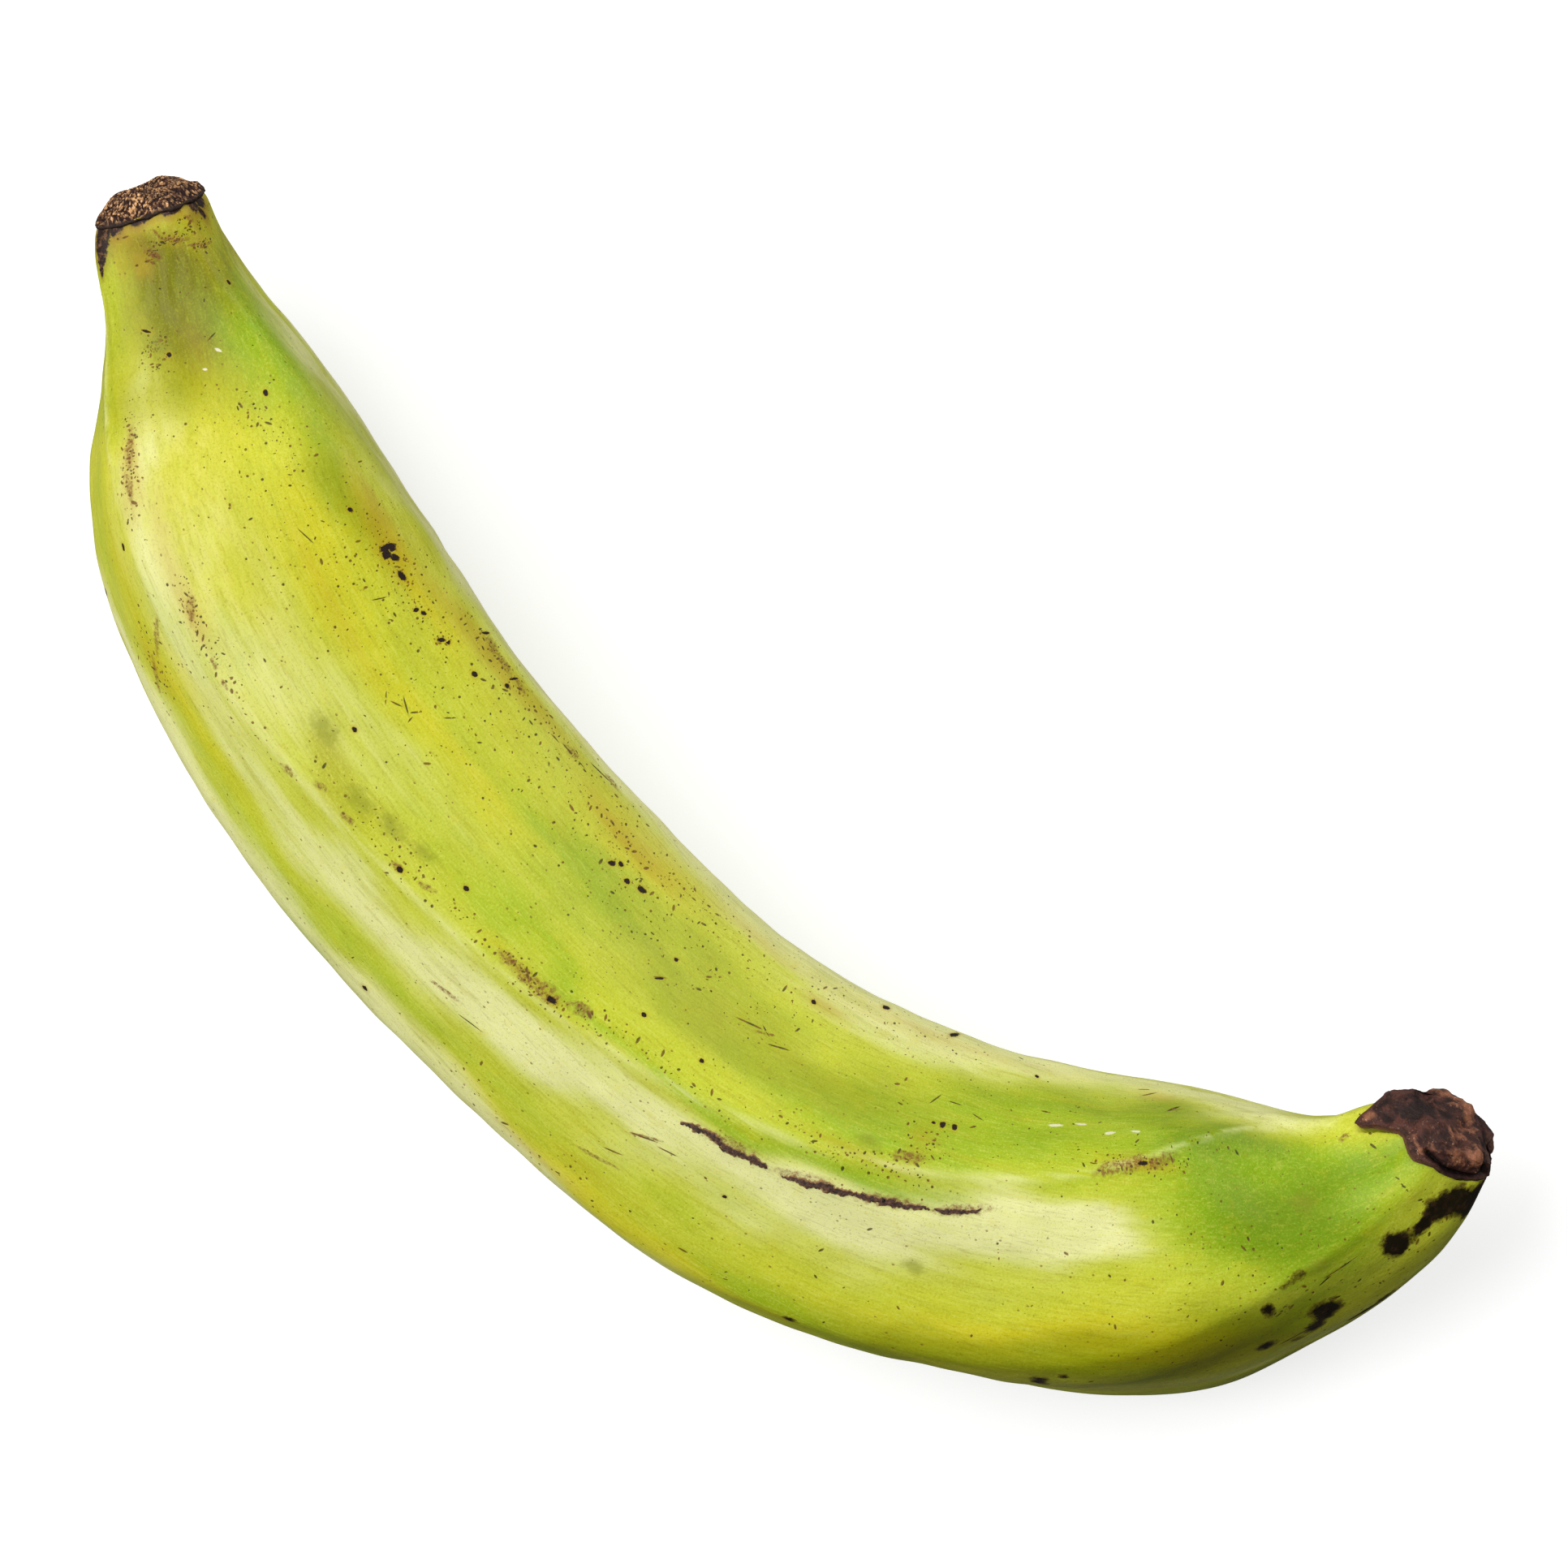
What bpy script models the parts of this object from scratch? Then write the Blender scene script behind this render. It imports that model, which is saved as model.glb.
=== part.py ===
"""A green plantain lying on its side, with its cut stem and its dried blossom end.

The fruit grew as one piece, so it is one solid. Rounded five-sided sections stand along a
curved spine that runs from the stem cut to the blossom end. The bow of the fruit lies flat:
X runs along its chord from stem to tip, Y points to the hollow side of the bow, and Z is up.
The fruit rests on the flat side between its two lowest ridges.
"""

import math

import bmesh
import bpy
import numpy as np

MM = 0.001

LENGTH = 258 * MM  # along the spine, from the cut to the blossom end
FLAT_DEPTH = 1.0 * MM  # how far the resting side is flattened below its round shape
CUT_SLOPE = math.tan(math.radians(8))  # the stem is cut on a slant, facing partly up
CUT_SKEW = math.tan(math.radians(9))  # and partly towards the outer side of the bow
CUT_REACH = 0.05  # the slant fades out over this share of the length
CUT_RIM = 0.82  # the cut's sunken middle, as a share of its outline
CUT_DISH = 0.5 * MM  # how far that middle sinks
TIP_DOME = 2.4 * MM  # how far the dried blossom end bulges past the spine's end
TIP_LUMPS = 0.07  # height of the lumps on the blossom end, as a share of its radius

RIDGE_SHARPNESS = 6.0  # a higher number makes flatter sides and narrower ridges

RINGS = 58  # sections along the spine
SIDES = 40  # points round each section
DOME_RINGS = 3  # sections on the blossom end

# Share of the length; heading and rise of the spine in degrees; half width and half height in mm.
STATIONS = np.array(
    [
        (0.000, -38.0, -9.0, 7.8, 7.0),
        (0.045, -36.0, -8.0, 9.9, 9.1),
        (0.090, -38.0, -6.0, 14.1, 13.1),
        (0.135, -40.0, -4.0, 18.6, 17.7),
        (0.180, -33.0, -2.0, 21.3, 20.5),
        (0.250, -24.5, 0.0, 22.8, 21.8),
        (0.340, -17.0, 0.0, 23.2, 22.2),
        (0.450, -11.0, 0.0, 23.0, 22.0),
        (0.550, -2.5, 0.0, 23.0, 22.0),
        (0.640, 10.0, 0.0, 23.0, 22.0),
        (0.730, 21.5, 0.0, 22.3, 21.3),
        (0.800, 30.5, 3.0, 21.9, 20.5),
        (0.860, 42.0, 8.0, 19.4, 18.1),
        (0.910, 54.5, 14.0, 14.8, 13.8),
        (0.955, 71.5, 20.0, 11.3, 10.5),
        (1.000, 84.0, 24.0, 7.4, 7.0),
    ]
)

# The ridges turn round the fruit as they run along it. Each row gives one ridge's angle from the
# top, in degrees towards the hollow side, at these shares of the length.
RIDGE_SHARES = np.array([0.0, 0.2, 0.4, 0.6, 0.8, 1.0])
RIDGE_ANGLES = np.array(
    [
        (-135.0, -105.0, -80.0, -65.0, -42.0, -5.0),
        (-75.0, -36.0, -18.0, 1.0, 27.0, 80.0),
        (35.0, 48.0, 70.0, 84.0, 105.0, 150.0),
        (115.0, 128.0, 141.0, 148.0, 162.0, 215.0),
        (170.0, 203.0, 214.0, 218.0, 236.0, 290.0),
    ]
)

PEEL_COLOUR = (0.49, 0.60, 0.08, 1.0)
PEEL_ROUGHNESS = 0.42


def smooth_through(shares, values, at):
    """The values at these shares of a smooth curve through the stations, a natural cubic spline."""
    gaps = np.diff(shares)
    slopes = np.diff(values) / gaps
    inner = gaps[1:-1]
    system = np.diag(2 * (gaps[:-1] + gaps[1:])) + np.diag(inner, 1) + np.diag(inner, -1)
    bends = np.zeros(len(shares))
    bends[1:-1] = np.linalg.solve(system, 6 * np.diff(slopes))
    i = np.clip(np.searchsorted(shares, at) - 1, 0, len(gaps) - 1)
    gap = gaps[i]
    before = at - shares[i]
    after = shares[i + 1] - at
    cubic = (bends[i] * after**3 + bends[i + 1] * before**3) / (6 * gap)
    from_left = (values[i] / gap - bends[i] * gap / 6) * after
    from_right = (values[i + 1] / gap - bends[i + 1] * gap / 6) * before
    return cubic + from_left + from_right


def station_curve(column, at):
    return smooth_through(STATIONS[:, 0], STATIONS[:, column], at)


def spine_frames(shares):
    """At each share of the length: the spine's point, and the directions along it, towards the hollow side
    and up."""
    heading = np.radians(station_curve(1, shares))
    rise = np.radians(station_curve(2, shares))
    level = np.cos(rise)
    along = np.stack([level * np.cos(heading), level * np.sin(heading), np.sin(rise)], 1)
    inward = np.stack([-np.sin(heading), np.cos(heading), np.zeros_like(heading)], 1)
    steps = np.diff(shares)[:, None] * LENGTH * (along[1:] + along[:-1]) / 2
    points = np.vstack([np.zeros(3), np.cumsum(steps, axis=0)])
    return points, along, inward, np.cross(along, inward)


def side_angles(share):
    """The angles that the five sides face: halfway between one ridge and the next."""
    ridges = np.array([smooth_through(RIDGE_SHARES, ridge, share) for ridge in RIDGE_ANGLES])
    following = np.append(ridges[1:], ridges[0] + 360)
    return np.radians((ridges + following) / 2)


def section(share, half_width, half_height):
    """One section's outline: how far each point lies towards the hollow side, and how far up."""
    angles = np.linspace(0, 2 * math.pi, SIDES, endpoint=False)
    towards = np.maximum(np.cos(angles[:, None] - side_angles(share)), 0.0)
    radius = (towards**RIDGE_SHARPNESS).sum(axis=1) ** (-1 / RIDGE_SHARPNESS)
    across = radius * np.sin(angles)
    up = radius * np.cos(angles)
    return fitted(across, half_width), fitted(up, half_height)


def fitted(values, half):
    """The values moved and scaled so that they run from minus half to half."""
    middle = (values.max() + values.min()) / 2
    return (values - middle) * 2 * half / np.ptp(values)


def fruit_rings():
    """The rings of points along the fruit, from the stem cut to the end of the spine."""
    shares = np.linspace(0, 1, RINGS)
    points, along, inward, upward = spine_frames(shares)
    half_widths = station_curve(3, shares) * MM
    half_heights = station_curve(4, shares) * MM
    rings = []
    for i, share in enumerate(shares):
        across, up = section(share, half_widths[i], half_heights[i])
        slant = (CUT_SLOPE * up - CUT_SKEW * across) * max(0.0, 1 - share / CUT_REACH) ** 2
        ring = points[i] + np.outer(across, inward[i]) + np.outer(up, upward[i])
        rings.append(ring + np.outer(slant, along[i]))
    return rings, along[-1]


def dome_rings(last, direction):
    """Rings that close the blossom end: a low dome with a few lumps."""
    centre = last.mean(axis=0)
    angles = np.linspace(0, 2 * math.pi, SIDES, endpoint=False)
    lumps = 1 + TIP_LUMPS * np.sin(3 * angles) * np.cos(2 * angles + 1)
    rings = []
    for i in range(1, DOME_RINGS + 1):
        turn = math.pi / 2 * i / (DOME_RINGS + 1)
        spread = (last - centre) * math.cos(turn) * lumps[:, None]
        rings.append(centre + spread + direction * TIP_DOME * math.sin(turn))
    return rings, centre + direction * TIP_DOME


def cut_rings(first, direction):
    """The ring round the cut's sunken middle, and the middle's centre."""
    centre = first.mean(axis=0)
    sunk = centre + direction * CUT_DISH
    return [sunk + (first - centre) * CUT_RIM], sunk


def laid_down(rings, ends):
    """The same points resting at z = 0 on their flattened underside, centred over the origin."""
    points = np.vstack(rings + [ends])
    floor = points[:, 2].min() + FLAT_DEPTH
    centre = (points.min(axis=0) + points.max(axis=0)) / 2
    points -= (centre[0], centre[1], floor)
    points[:, 2] = np.maximum(points[:, 2], 0.0)
    return points


def bridged(mesh, rings, start, end):
    """Joins the rings side by side and closes both ends with a fan of triangles."""
    for ring, following in zip(rings, rings[1:]):
        for i in range(SIDES):
            j = (i + 1) % SIDES
            mesh.faces.new((ring[i], following[i], following[j], ring[j]))
    for i in range(SIDES):
        j = (i + 1) % SIDES
        mesh.faces.new((start, rings[0][i], rings[0][j]))
        mesh.faces.new((end, rings[-1][j], rings[-1][i]))


def plantain_mesh():
    body, direction = fruit_rings()
    middle, cut_centre = cut_rings(body[0], spine_frames(np.array([0.0, 1.0]))[1][0])
    dome, tip = dome_rings(body[-1], direction)
    rings = middle + body + dome
    points = laid_down(rings, np.array([cut_centre, tip]))

    mesh = bmesh.new()
    vertices = [mesh.verts.new(point) for point in points]
    ring_vertices = [vertices[i * SIDES : (i + 1) * SIDES] for i in range(len(rings))]
    bridged(mesh, ring_vertices, vertices[-2], vertices[-1])
    bmesh.ops.recalc_face_normals(mesh, faces=mesh.faces)
    bmesh.ops.triangulate(mesh, faces=mesh.faces)
    data = bpy.data.meshes.new("plantain")
    mesh.to_mesh(data)
    mesh.free()
    return data


def peel_material():
    material = bpy.data.materials.new("peel")
    material.use_nodes = True
    surface = material.node_tree.nodes["Principled BSDF"]
    surface.inputs["Base Color"].default_value = PEEL_COLOUR
    surface.inputs["Roughness"].default_value = PEEL_ROUGHNESS
    surface.inputs["Metallic"].default_value = 0.0
    return material


def build():
    for thing in list(bpy.data.objects):
        bpy.data.objects.remove(thing)
    data = plantain_mesh()
    data.materials.append(peel_material())
    data.shade_smooth()
    data.set_sharp_from_angle(angle=math.radians(50))
    bpy.context.scene.collection.objects.link(bpy.data.objects.new("plantain", data))


build()
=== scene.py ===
"""Looks for a green plantain: waxy peel, granular stem cut, dried blossom end and corky crack."""

import math

import bmesh
import bpy
import numpy as np
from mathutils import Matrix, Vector
from mathutils import noise as solid_noise
from mathutils.kdtree import KDTree


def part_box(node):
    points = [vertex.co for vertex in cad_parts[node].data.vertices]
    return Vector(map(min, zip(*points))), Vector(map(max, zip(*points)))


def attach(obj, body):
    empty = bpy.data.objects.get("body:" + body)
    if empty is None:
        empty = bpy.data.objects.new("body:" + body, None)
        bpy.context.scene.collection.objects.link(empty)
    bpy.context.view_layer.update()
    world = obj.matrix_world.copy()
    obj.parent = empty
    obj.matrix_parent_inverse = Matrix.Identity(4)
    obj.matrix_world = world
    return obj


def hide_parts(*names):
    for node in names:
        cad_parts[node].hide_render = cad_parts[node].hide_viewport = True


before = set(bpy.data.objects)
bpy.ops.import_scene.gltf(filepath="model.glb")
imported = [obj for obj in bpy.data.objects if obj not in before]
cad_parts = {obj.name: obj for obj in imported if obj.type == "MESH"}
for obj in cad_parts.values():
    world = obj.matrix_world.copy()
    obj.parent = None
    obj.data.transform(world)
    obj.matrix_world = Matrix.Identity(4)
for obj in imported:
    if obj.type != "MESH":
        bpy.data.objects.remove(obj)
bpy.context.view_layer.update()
NODE = "plantain"
MM = 0.001

# ------------------------------------------------------------------ the fruit's shape, as in the CAD part

LENGTH = 258.0  # mm along the spine, from the cut to the blossom end
FLAT_DEPTH = 1.0  # mm, how far the resting side is flattened below its round shape
CUT_SLOPE = math.tan(math.radians(8))  # the stem is cut on a slant, facing partly up
CUT_SKEW = math.tan(math.radians(9))  # and partly towards the outer side of the bow
CUT_REACH = 0.05  # the slant fades out over this share of the length
# The cut is ragged: how far it stands back at these places from the outer to the hollow side, all in mm.
CUT_ACROSS = (-8.0, -4.0, 2.0, 5.0, 8.0)
CUT_BACK = (-0.9, -0.4, 0.0, 0.5, 1.9)
RIDGE_SHARPNESS = 6.0  # a higher number makes flatter sides and narrower ridges

# Share of the length; heading and rise of the spine in degrees; half width and half height in mm.
STATIONS = np.array(
    [
        (0.000, -38.0, -9.0, 7.8, 7.0),
        (0.045, -36.0, -8.0, 9.9, 9.1),
        (0.090, -38.0, -6.0, 14.1, 13.1),
        (0.135, -40.0, -4.0, 18.6, 17.7),
        (0.180, -33.0, -2.0, 21.3, 20.5),
        (0.250, -24.5, 0.0, 22.8, 21.8),
        (0.340, -17.0, 0.0, 23.2, 22.2),
        (0.450, -11.0, 0.0, 23.0, 22.0),
        (0.550, -2.5, 0.0, 23.0, 22.0),
        (0.640, 10.0, 0.0, 23.0, 22.0),
        (0.730, 21.5, 0.0, 22.3, 21.3),
        (0.800, 30.5, 3.0, 21.9, 20.5),
        (0.860, 42.0, 8.0, 19.4, 18.1),
        (0.910, 54.5, 14.0, 14.8, 13.8),
        (0.955, 71.5, 20.0, 11.3, 10.5),
        (1.000, 84.0, 24.0, 7.4, 7.0),
    ]
)

# Each row gives one ridge's angle from the top, in degrees towards the hollow side, at these shares.
RIDGE_SHARES = np.array([0.0, 0.2, 0.4, 0.6, 0.8, 1.0])
RIDGE_ANGLES = np.array(
    [
        (-135.0, -105.0, -80.0, -65.0, -42.0, -5.0),
        (-75.0, -36.0, -18.0, 1.0, 27.0, 80.0),
        (35.0, 48.0, 70.0, 84.0, 105.0, 150.0),
        (115.0, 128.0, 141.0, 148.0, 162.0, 215.0),
        (170.0, 203.0, 214.0, 218.0, 236.0, 290.0),
    ]
)

FAR = 99.0  # stands for no mark nearby
STEM_ROUNDING = 0.4  # how far the section at the cut is rounded off
STEM_ROUND_REACH = 0.08  # share of the length over which the ridges grow
PEEL_RINGS = 430  # sections along the peel
PEEL_SIDES = 212  # points round each section
SPINE_STEPS = 1200  # steps used to add up the spine


def smoothstep(low, high, value):
    t = np.clip((value - low) / (high - low), 0.0, 1.0)
    return t * t * (3 - 2 * t)


def smooth_through(shares, values, at):
    """The values at these shares of a smooth curve through the stations, a natural cubic spline."""
    gaps = np.diff(shares)
    slopes = np.diff(values) / gaps
    inner = gaps[1:-1]
    system = np.diag(2 * (gaps[:-1] + gaps[1:])) + np.diag(inner, 1) + np.diag(inner, -1)
    bends = np.zeros(len(shares))
    bends[1:-1] = np.linalg.solve(system, 6 * np.diff(slopes))
    i = np.clip(np.searchsorted(shares, at) - 1, 0, len(gaps) - 1)
    gap = gaps[i]
    before = at - shares[i]
    after = shares[i + 1] - at
    cubic = (bends[i] * after**3 + bends[i + 1] * before**3) / (6 * gap)
    from_left = (values[i] / gap - bends[i] * gap / 6) * after
    from_right = (values[i + 1] / gap - bends[i + 1] * gap / 6) * before
    return cubic + from_left + from_right


def station_curve(column, at):
    return smooth_through(STATIONS[:, 0], STATIONS[:, column], at)


def unit(vectors):
    return vectors / np.linalg.norm(vectors, axis=-1, keepdims=True)


def directions(shares):
    """The directions along the spine, towards the hollow side and up, at each share."""
    heading = np.radians(station_curve(1, shares))
    rise = np.radians(station_curve(2, shares))
    level = np.cos(rise)
    along = np.stack([level * np.cos(heading), level * np.sin(heading), np.sin(rise)], -1)
    inward = np.stack([-np.sin(heading), np.cos(heading), np.zeros_like(heading)], -1)
    return along, inward, np.cross(along, inward)


def spine_table():
    """Points of the spine, in mm, at evenly spaced shares."""
    shares = np.linspace(0, 1, SPINE_STEPS)
    along = directions(shares)[0]
    steps = np.diff(shares)[:, None] * LENGTH * (along[1:] + along[:-1]) / 2
    return shares, np.vstack([np.zeros(3), np.cumsum(steps, axis=0)])


SPINE_SHARES, SPINE_POINTS = spine_table()


def spine_point(shares):
    return np.stack([np.interp(shares, SPINE_SHARES, SPINE_POINTS[:, k]) for k in range(3)], -1)


def side_angles(shares):
    """The angles that the five sides face, halfway between one ridge and the next."""
    ridges = np.stack([smooth_through(RIDGE_SHARES, ridge, shares) for ridge in RIDGE_ANGLES], -1)
    following = np.concatenate([ridges[..., 1:], ridges[..., :1] + 360], -1)
    return np.radians((ridges + following) / 2)


def fitted(values, half):
    """Each row moved and scaled so that it runs from minus half to half."""
    low = values.min(axis=-1, keepdims=True)
    high = values.max(axis=-1, keepdims=True)
    return (values - (high + low) / 2) * 2 * half[:, None] / (high - low)


def sections(shares, angles):
    """For each share a row of points: how far each lies towards the hollow side, and how far up, in mm."""
    towards = np.maximum(np.cos(angles[None, :, None] - side_angles(shares)[:, None, :]), 0.0)
    radius = (towards**RIDGE_SHARPNESS).sum(axis=-1) ** (-1 / RIDGE_SHARPNESS)
    rounding = STEM_ROUNDING * (1 - smoothstep(0.0, STEM_ROUND_REACH, shares))[:, None]
    radius = radius * (1 - rounding) + radius.mean(axis=-1, keepdims=True) * rounding
    across = fitted(radius * np.sin(angles), station_curve(3, shares))
    up = fitted(radius * np.cos(angles), station_curve(4, shares))
    return across, up


def bent(share, across, up):
    """Straightened positions bent along the spine, in mm, before the fruit is laid down."""
    along, inward, upward = directions(share)
    back = CUT_SLOPE * up - CUT_SKEW * across + np.interp(across, CUT_ACROSS, CUT_BACK)
    slant = back * np.maximum(0.0, 1 - share / CUT_REACH) ** 2
    place = spine_point(share) + across[..., None] * inward + up[..., None] * upward
    return place + slant[..., None] * along


def resting_offset():
    """The shift that lays the bent shape on z = 0 inside the CAD node's box, in mm."""
    shares = np.repeat(np.linspace(0, 1, PEEL_RINGS)[:, None], PEEL_SIDES, 1)
    angles = np.linspace(0, 2 * math.pi, PEEL_SIDES, endpoint=False)
    across, up = sections(shares[:, 0], angles)
    points = bent(shares, across, up).reshape(-1, 3)
    low, high = (np.array(corner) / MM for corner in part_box(NODE))
    shift = np.array([low[0] - points[:, 0].min(), low[1] - points[:, 1].min(), 0.0])
    shift[2] = high[2] - points[:, 2].max()
    return shift


RESTING = resting_offset()


def laid_down(points):
    """Bent points in mm moved to the resting place, flattened underneath, and returned in metres."""
    placed = points + RESTING
    placed[..., 2] = np.maximum(placed[..., 2], 0.0)
    return placed * MM


# ------------------------------------------------------------------ smooth fields used for relief and colour


def waves(points, wavelength, seed, count=24):
    """A smooth random field of about unit height, a sum of plane waves of one length in every direction."""
    random = np.random.default_rng(seed)
    turns = unit(random.normal(size=(count, 3))) * (2 * math.pi / wavelength)
    phases = random.uniform(0, 2 * math.pi, count)
    total = np.zeros(points.shape[:-1])
    for turn, phase in zip(turns, phases):
        total += np.cos(points @ turn + phase)
    return total / math.sqrt(count / 2)


def patch(distance, degrees, spot):
    """A soft oval patch: mm from the cut, degrees from the top, half length in mm, half width in degrees."""
    where, turn, long, wide = spot
    round_by = (degrees - turn + 180) % 360 - 180
    return np.exp(-((distance - where) / long) ** 2 - (round_by / wide) ** 2)


def patches(distance, degrees, spots):
    total = np.zeros_like(distance)
    for *spot, strength in spots:
        total += strength * patch(distance, degrees, spot)
    return total


def seen_degrees(share, across, up):
    """Degrees from the top as seen from above: 90 is the hollow side's edge, -90 the outer side's."""
    sideways = np.clip(across / station_curve(3, share), -1, 1)
    over = np.degrees(np.arcsin(sideways))
    under = np.where(over >= 0, 180 - over, -180 - over)
    return np.where(up >= 0, over, under)


# ------------------------------------------------------------------ relief of the peel, in mm

END_BURIED = 3.6  # mm, how far the peel sinks under the dried tissue

# The edge of the dried tissue: degrees as seen from above, and mm from the cut.
END_EDGE = np.array(
    [
        (-180.0, 253.5),
        (-130.0, 254.5),
        (-100.0, 255.6),
        (-84.0, 255.8),
        (-55.0, 255.0),
        (-39.0, 254.5),
        (-26.0, 254.2),
        (-13.0, 254.5),
        (-4.0, 254.0),
        (5.0, 253.2),
        (13.0, 253.2),
        (27.0, 253.8),
        (33.0, 253.4),
        (38.0, 252.5),
        (45.0, 251.0),
        (49.0, 249.4),
        (54.0, 248.0),
        (62.0, 249.0),
        (72.0, 251.4),
        (84.0, 253.2),
        (110.0, 254.2),
        (150.0, 253.8),
        (180.0, 253.5),
    ]
)

RIDGE_LINES = (
    # ridge row, first mm, last mm, height in mm, half width in degrees, offset from the ridge in degrees
    (1, 3, 36, 0.34, 2.6, 0),
    (1, 6, 32, 0.22, 2.2, 8),
    (1, 55, 236, 0.42, 3.4, 0),
    (1, 55, 236, -0.38, 6, 9),
    (1, 120, 236, -0.3, 9, 20),
    (2, 70, 140, 0.24, 2.5, 0),
    (0, 150, 250, 0.25, 4, 0),
)

# Painted highlight along the thin crests of the ridges.
CREST_HIGHLIGHTS = (
    # ridge row, first mm, last mm, strength, half width in degrees, offset from the ridge in degrees
    (1, 2, 38, 0.9, 1.8, 0),
    (1, 60, 240, 0.75, 1.6, 0),
    (2, 72, 140, 0.9, 1.5, 0),
)

HOLLOWS = (
    # mm from the cut, degrees, half length mm, half width deg, depth mm
    (160, 28, 40, 16, -0.45),
    (75, 12, 30, 14, -0.35),
    (120, -38, 40, 14, 0.25),
    (206, 52, 14, 12, -0.5),
    (228, 30, 10, 14, -0.5),
    (243, 20, 7, 30, -0.45),
    (240, 66, 8, 12, -0.6),
    (18, 0, 9, 25, -0.25),
    (166, -8, 26, 5, 0.35),
    (52, 86, 15, 35, -0.75),
    (58, -86, 22, 30, 0.55),
    (190, -86, 12, 30, -0.55),
    (229, -86, 10, 30, -0.7),
    (2, -86, 7, 36, 0.9),
    (250, 90, 5, 32, 0.95),
)


# Swells of the peel: stretch along the fruit, wavelength in mm, seed, number of waves, height in mm.
SWELLS = ((0.45, 26.0, 3, 24, 0.22), (0.6, 8.0, 5, 24, 0.07), (0.5, 3.2, 6, 36, 0.025))
NECK_FLUTES = 11  # fine flutes round the blossom end's neck
STEM_FLUTES = 17  # and round the stem


def ridge_line(row, distance, share, degrees):
    """How near each point is to a thin raised line along one ridge, from 0 to 1."""
    _, first, last, _, half, offset = row
    angle = smooth_through(RIDGE_SHARES, RIDGE_ANGLES[row[0]], share) + offset
    round_by = (degrees - angle + 180) % 360 - 180
    ends = smoothstep(first, first + 8, distance) * (1 - smoothstep(last - 10, last, distance))
    return np.exp(-((round_by / half) ** 2)) * ends


def painted_crest_highlight(distance, share, section_degrees):
    """Where a thin painted highlight runs along the crests of the ridges, from 0 to 1."""
    total = np.zeros_like(distance)
    for row in CREST_HIGHLIGHTS:
        total += row[3] * ridge_line(row, distance, share, section_degrees)
    return total


def relief(share, degrees, section_degrees, flow):
    """How far the peel stands above the smooth CAD shape, in mm."""
    distance = share * LENGTH
    height = np.zeros_like(distance)
    for stretch, wavelength, seed, count, tall in SWELLS:
        height += tall * waves(flow * (stretch, 1.0, 1.0), wavelength, seed, count)
    height += patches(distance, degrees, HOLLOWS)
    for row in RIDGE_LINES:
        height += row[3] * ridge_line(row, distance, share, section_degrees)
    round_by = np.radians(section_degrees)
    neck = smoothstep(0.88, 0.98, share)
    height += 0.08 * neck * np.cos(round_by * NECK_FLUTES + 1.5 * waves(flow, 14.0, 8))
    stem = 1 - smoothstep(0.02, 0.09, share)
    height += 0.07 * stem * np.cos(round_by * STEM_FLUTES + 2.0 * waves(flow, 9.0, 9))
    height *= smoothstep(-0.002, 0.02, share) * 0.85 + 0.15
    height -= 0.45 * np.exp(-((distance / 0.9) ** 2))
    covered = distance - np.interp(degrees, END_EDGE[:, 0], END_EDGE[:, 1])
    return height - END_BURIED * smoothstep(0.15, 1.1, covered)


# ------------------------------------------------------------------ colour zones of the peel

YELLOW = (
    # mm from the cut, degrees, half length mm, half width deg, strength
    (208, -44, 26, 15, 0.95),
    (135, -68, 24, 10, 0.6),
    (60, -58, 26, 14, 0.55),
    (165, -55, 30, 14, 0.35),
    (18, -20, 14, 44, 0.65),
    (46, -20, 24, 40, 0.5),
    (54, 26, 18, 16, 0.45),
    (62, 50, 26, 12, 0.65),
    (86, 18, 22, 8, 0.45),
    (118, 46, 16, 10, 0.55),
    (112, 62, 14, 8, 0.35),
    (148, 30, 14, 10, 0.35),
    (90, -110, 80, 30, 0.4),
)

GREEN = (
    (182, 22, 22, 12, 0.45),
    (188, 38, 14, 12, 0.4),
    (170, 14, 16, 7, 0.45),
    (212, 46, 24, 16, 0.5),
    (240, 4, 20, 28, 1),
    (233, 34, 18, 22, 0.75),
    (226, -36, 12, 10, 0.4),
    (150, -3, 24, 6, 0.6),
    (176, 2, 16, 5, 0.7),
    (112, -5, 24, 7, 0.45),
    (18, 20, 12, 24, 0.6),
    (12, -24, 7, 18, 0.45),
    (46, 40, 18, 12, 0.35),
    (115, 28, 30, 12, 0.25),
    (100, 30, 16, 8, 0.25),
    (146, 36, 18, 8, 0.2),
    (20, 58, 16, 22, 0.8),
    (74, -66, 20, 12, 0.38),
    (112, -56, 26, 9, 0.35),
    (158, -58, 18, 10, 0.5),
    (180, -74, 22, 9, 0.45),
    (150, 150, 90, 50, 0.45),
    (70, 170, 60, 50, 0.3),
)

# Painted highlight and painted reflection: a pale band of painted highlight along the flank beside the main
# ridge, and painted reflections along the edges of the outer and the hollow side; mm from the cut, degrees,
# half length mm, half width deg, strength.
PAINTED_SHEEN = (
    (42, -38, 18, 14, 0.75),
    (58, -14, 20, 12, 0.5),
    (80, -36, 26, 10, 0.45),
    (112, -36, 26, 12, 0.6),
    (134, -28, 24, 9, 0.7),
    (160, -18, 22, 9, 0.95),
    (184, -9, 20, 9, 1),
    (200, 2, 13, 10, 0.95),
    (92, -84, 30, 13, 1.4),
    (64, -92, 22, 8, 0.8),
    (126, -86, 22, 11, 1),
    (150, 84, 60, 14, 1),
    (215, 80, 26, 15, 0.75),
    (160, 62, 44, 12, 0.7),
    (104, -68, 26, 8, 0.45),
    (62, 88, 50, 14, 1),
    (24, 78, 14, 14, 0.5),
    (224, -76, 18, 14, 0.5),
    (200, 6, 12, 12, 0.4),
    (76, 2, 26, 10, 0.3),
)

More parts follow.
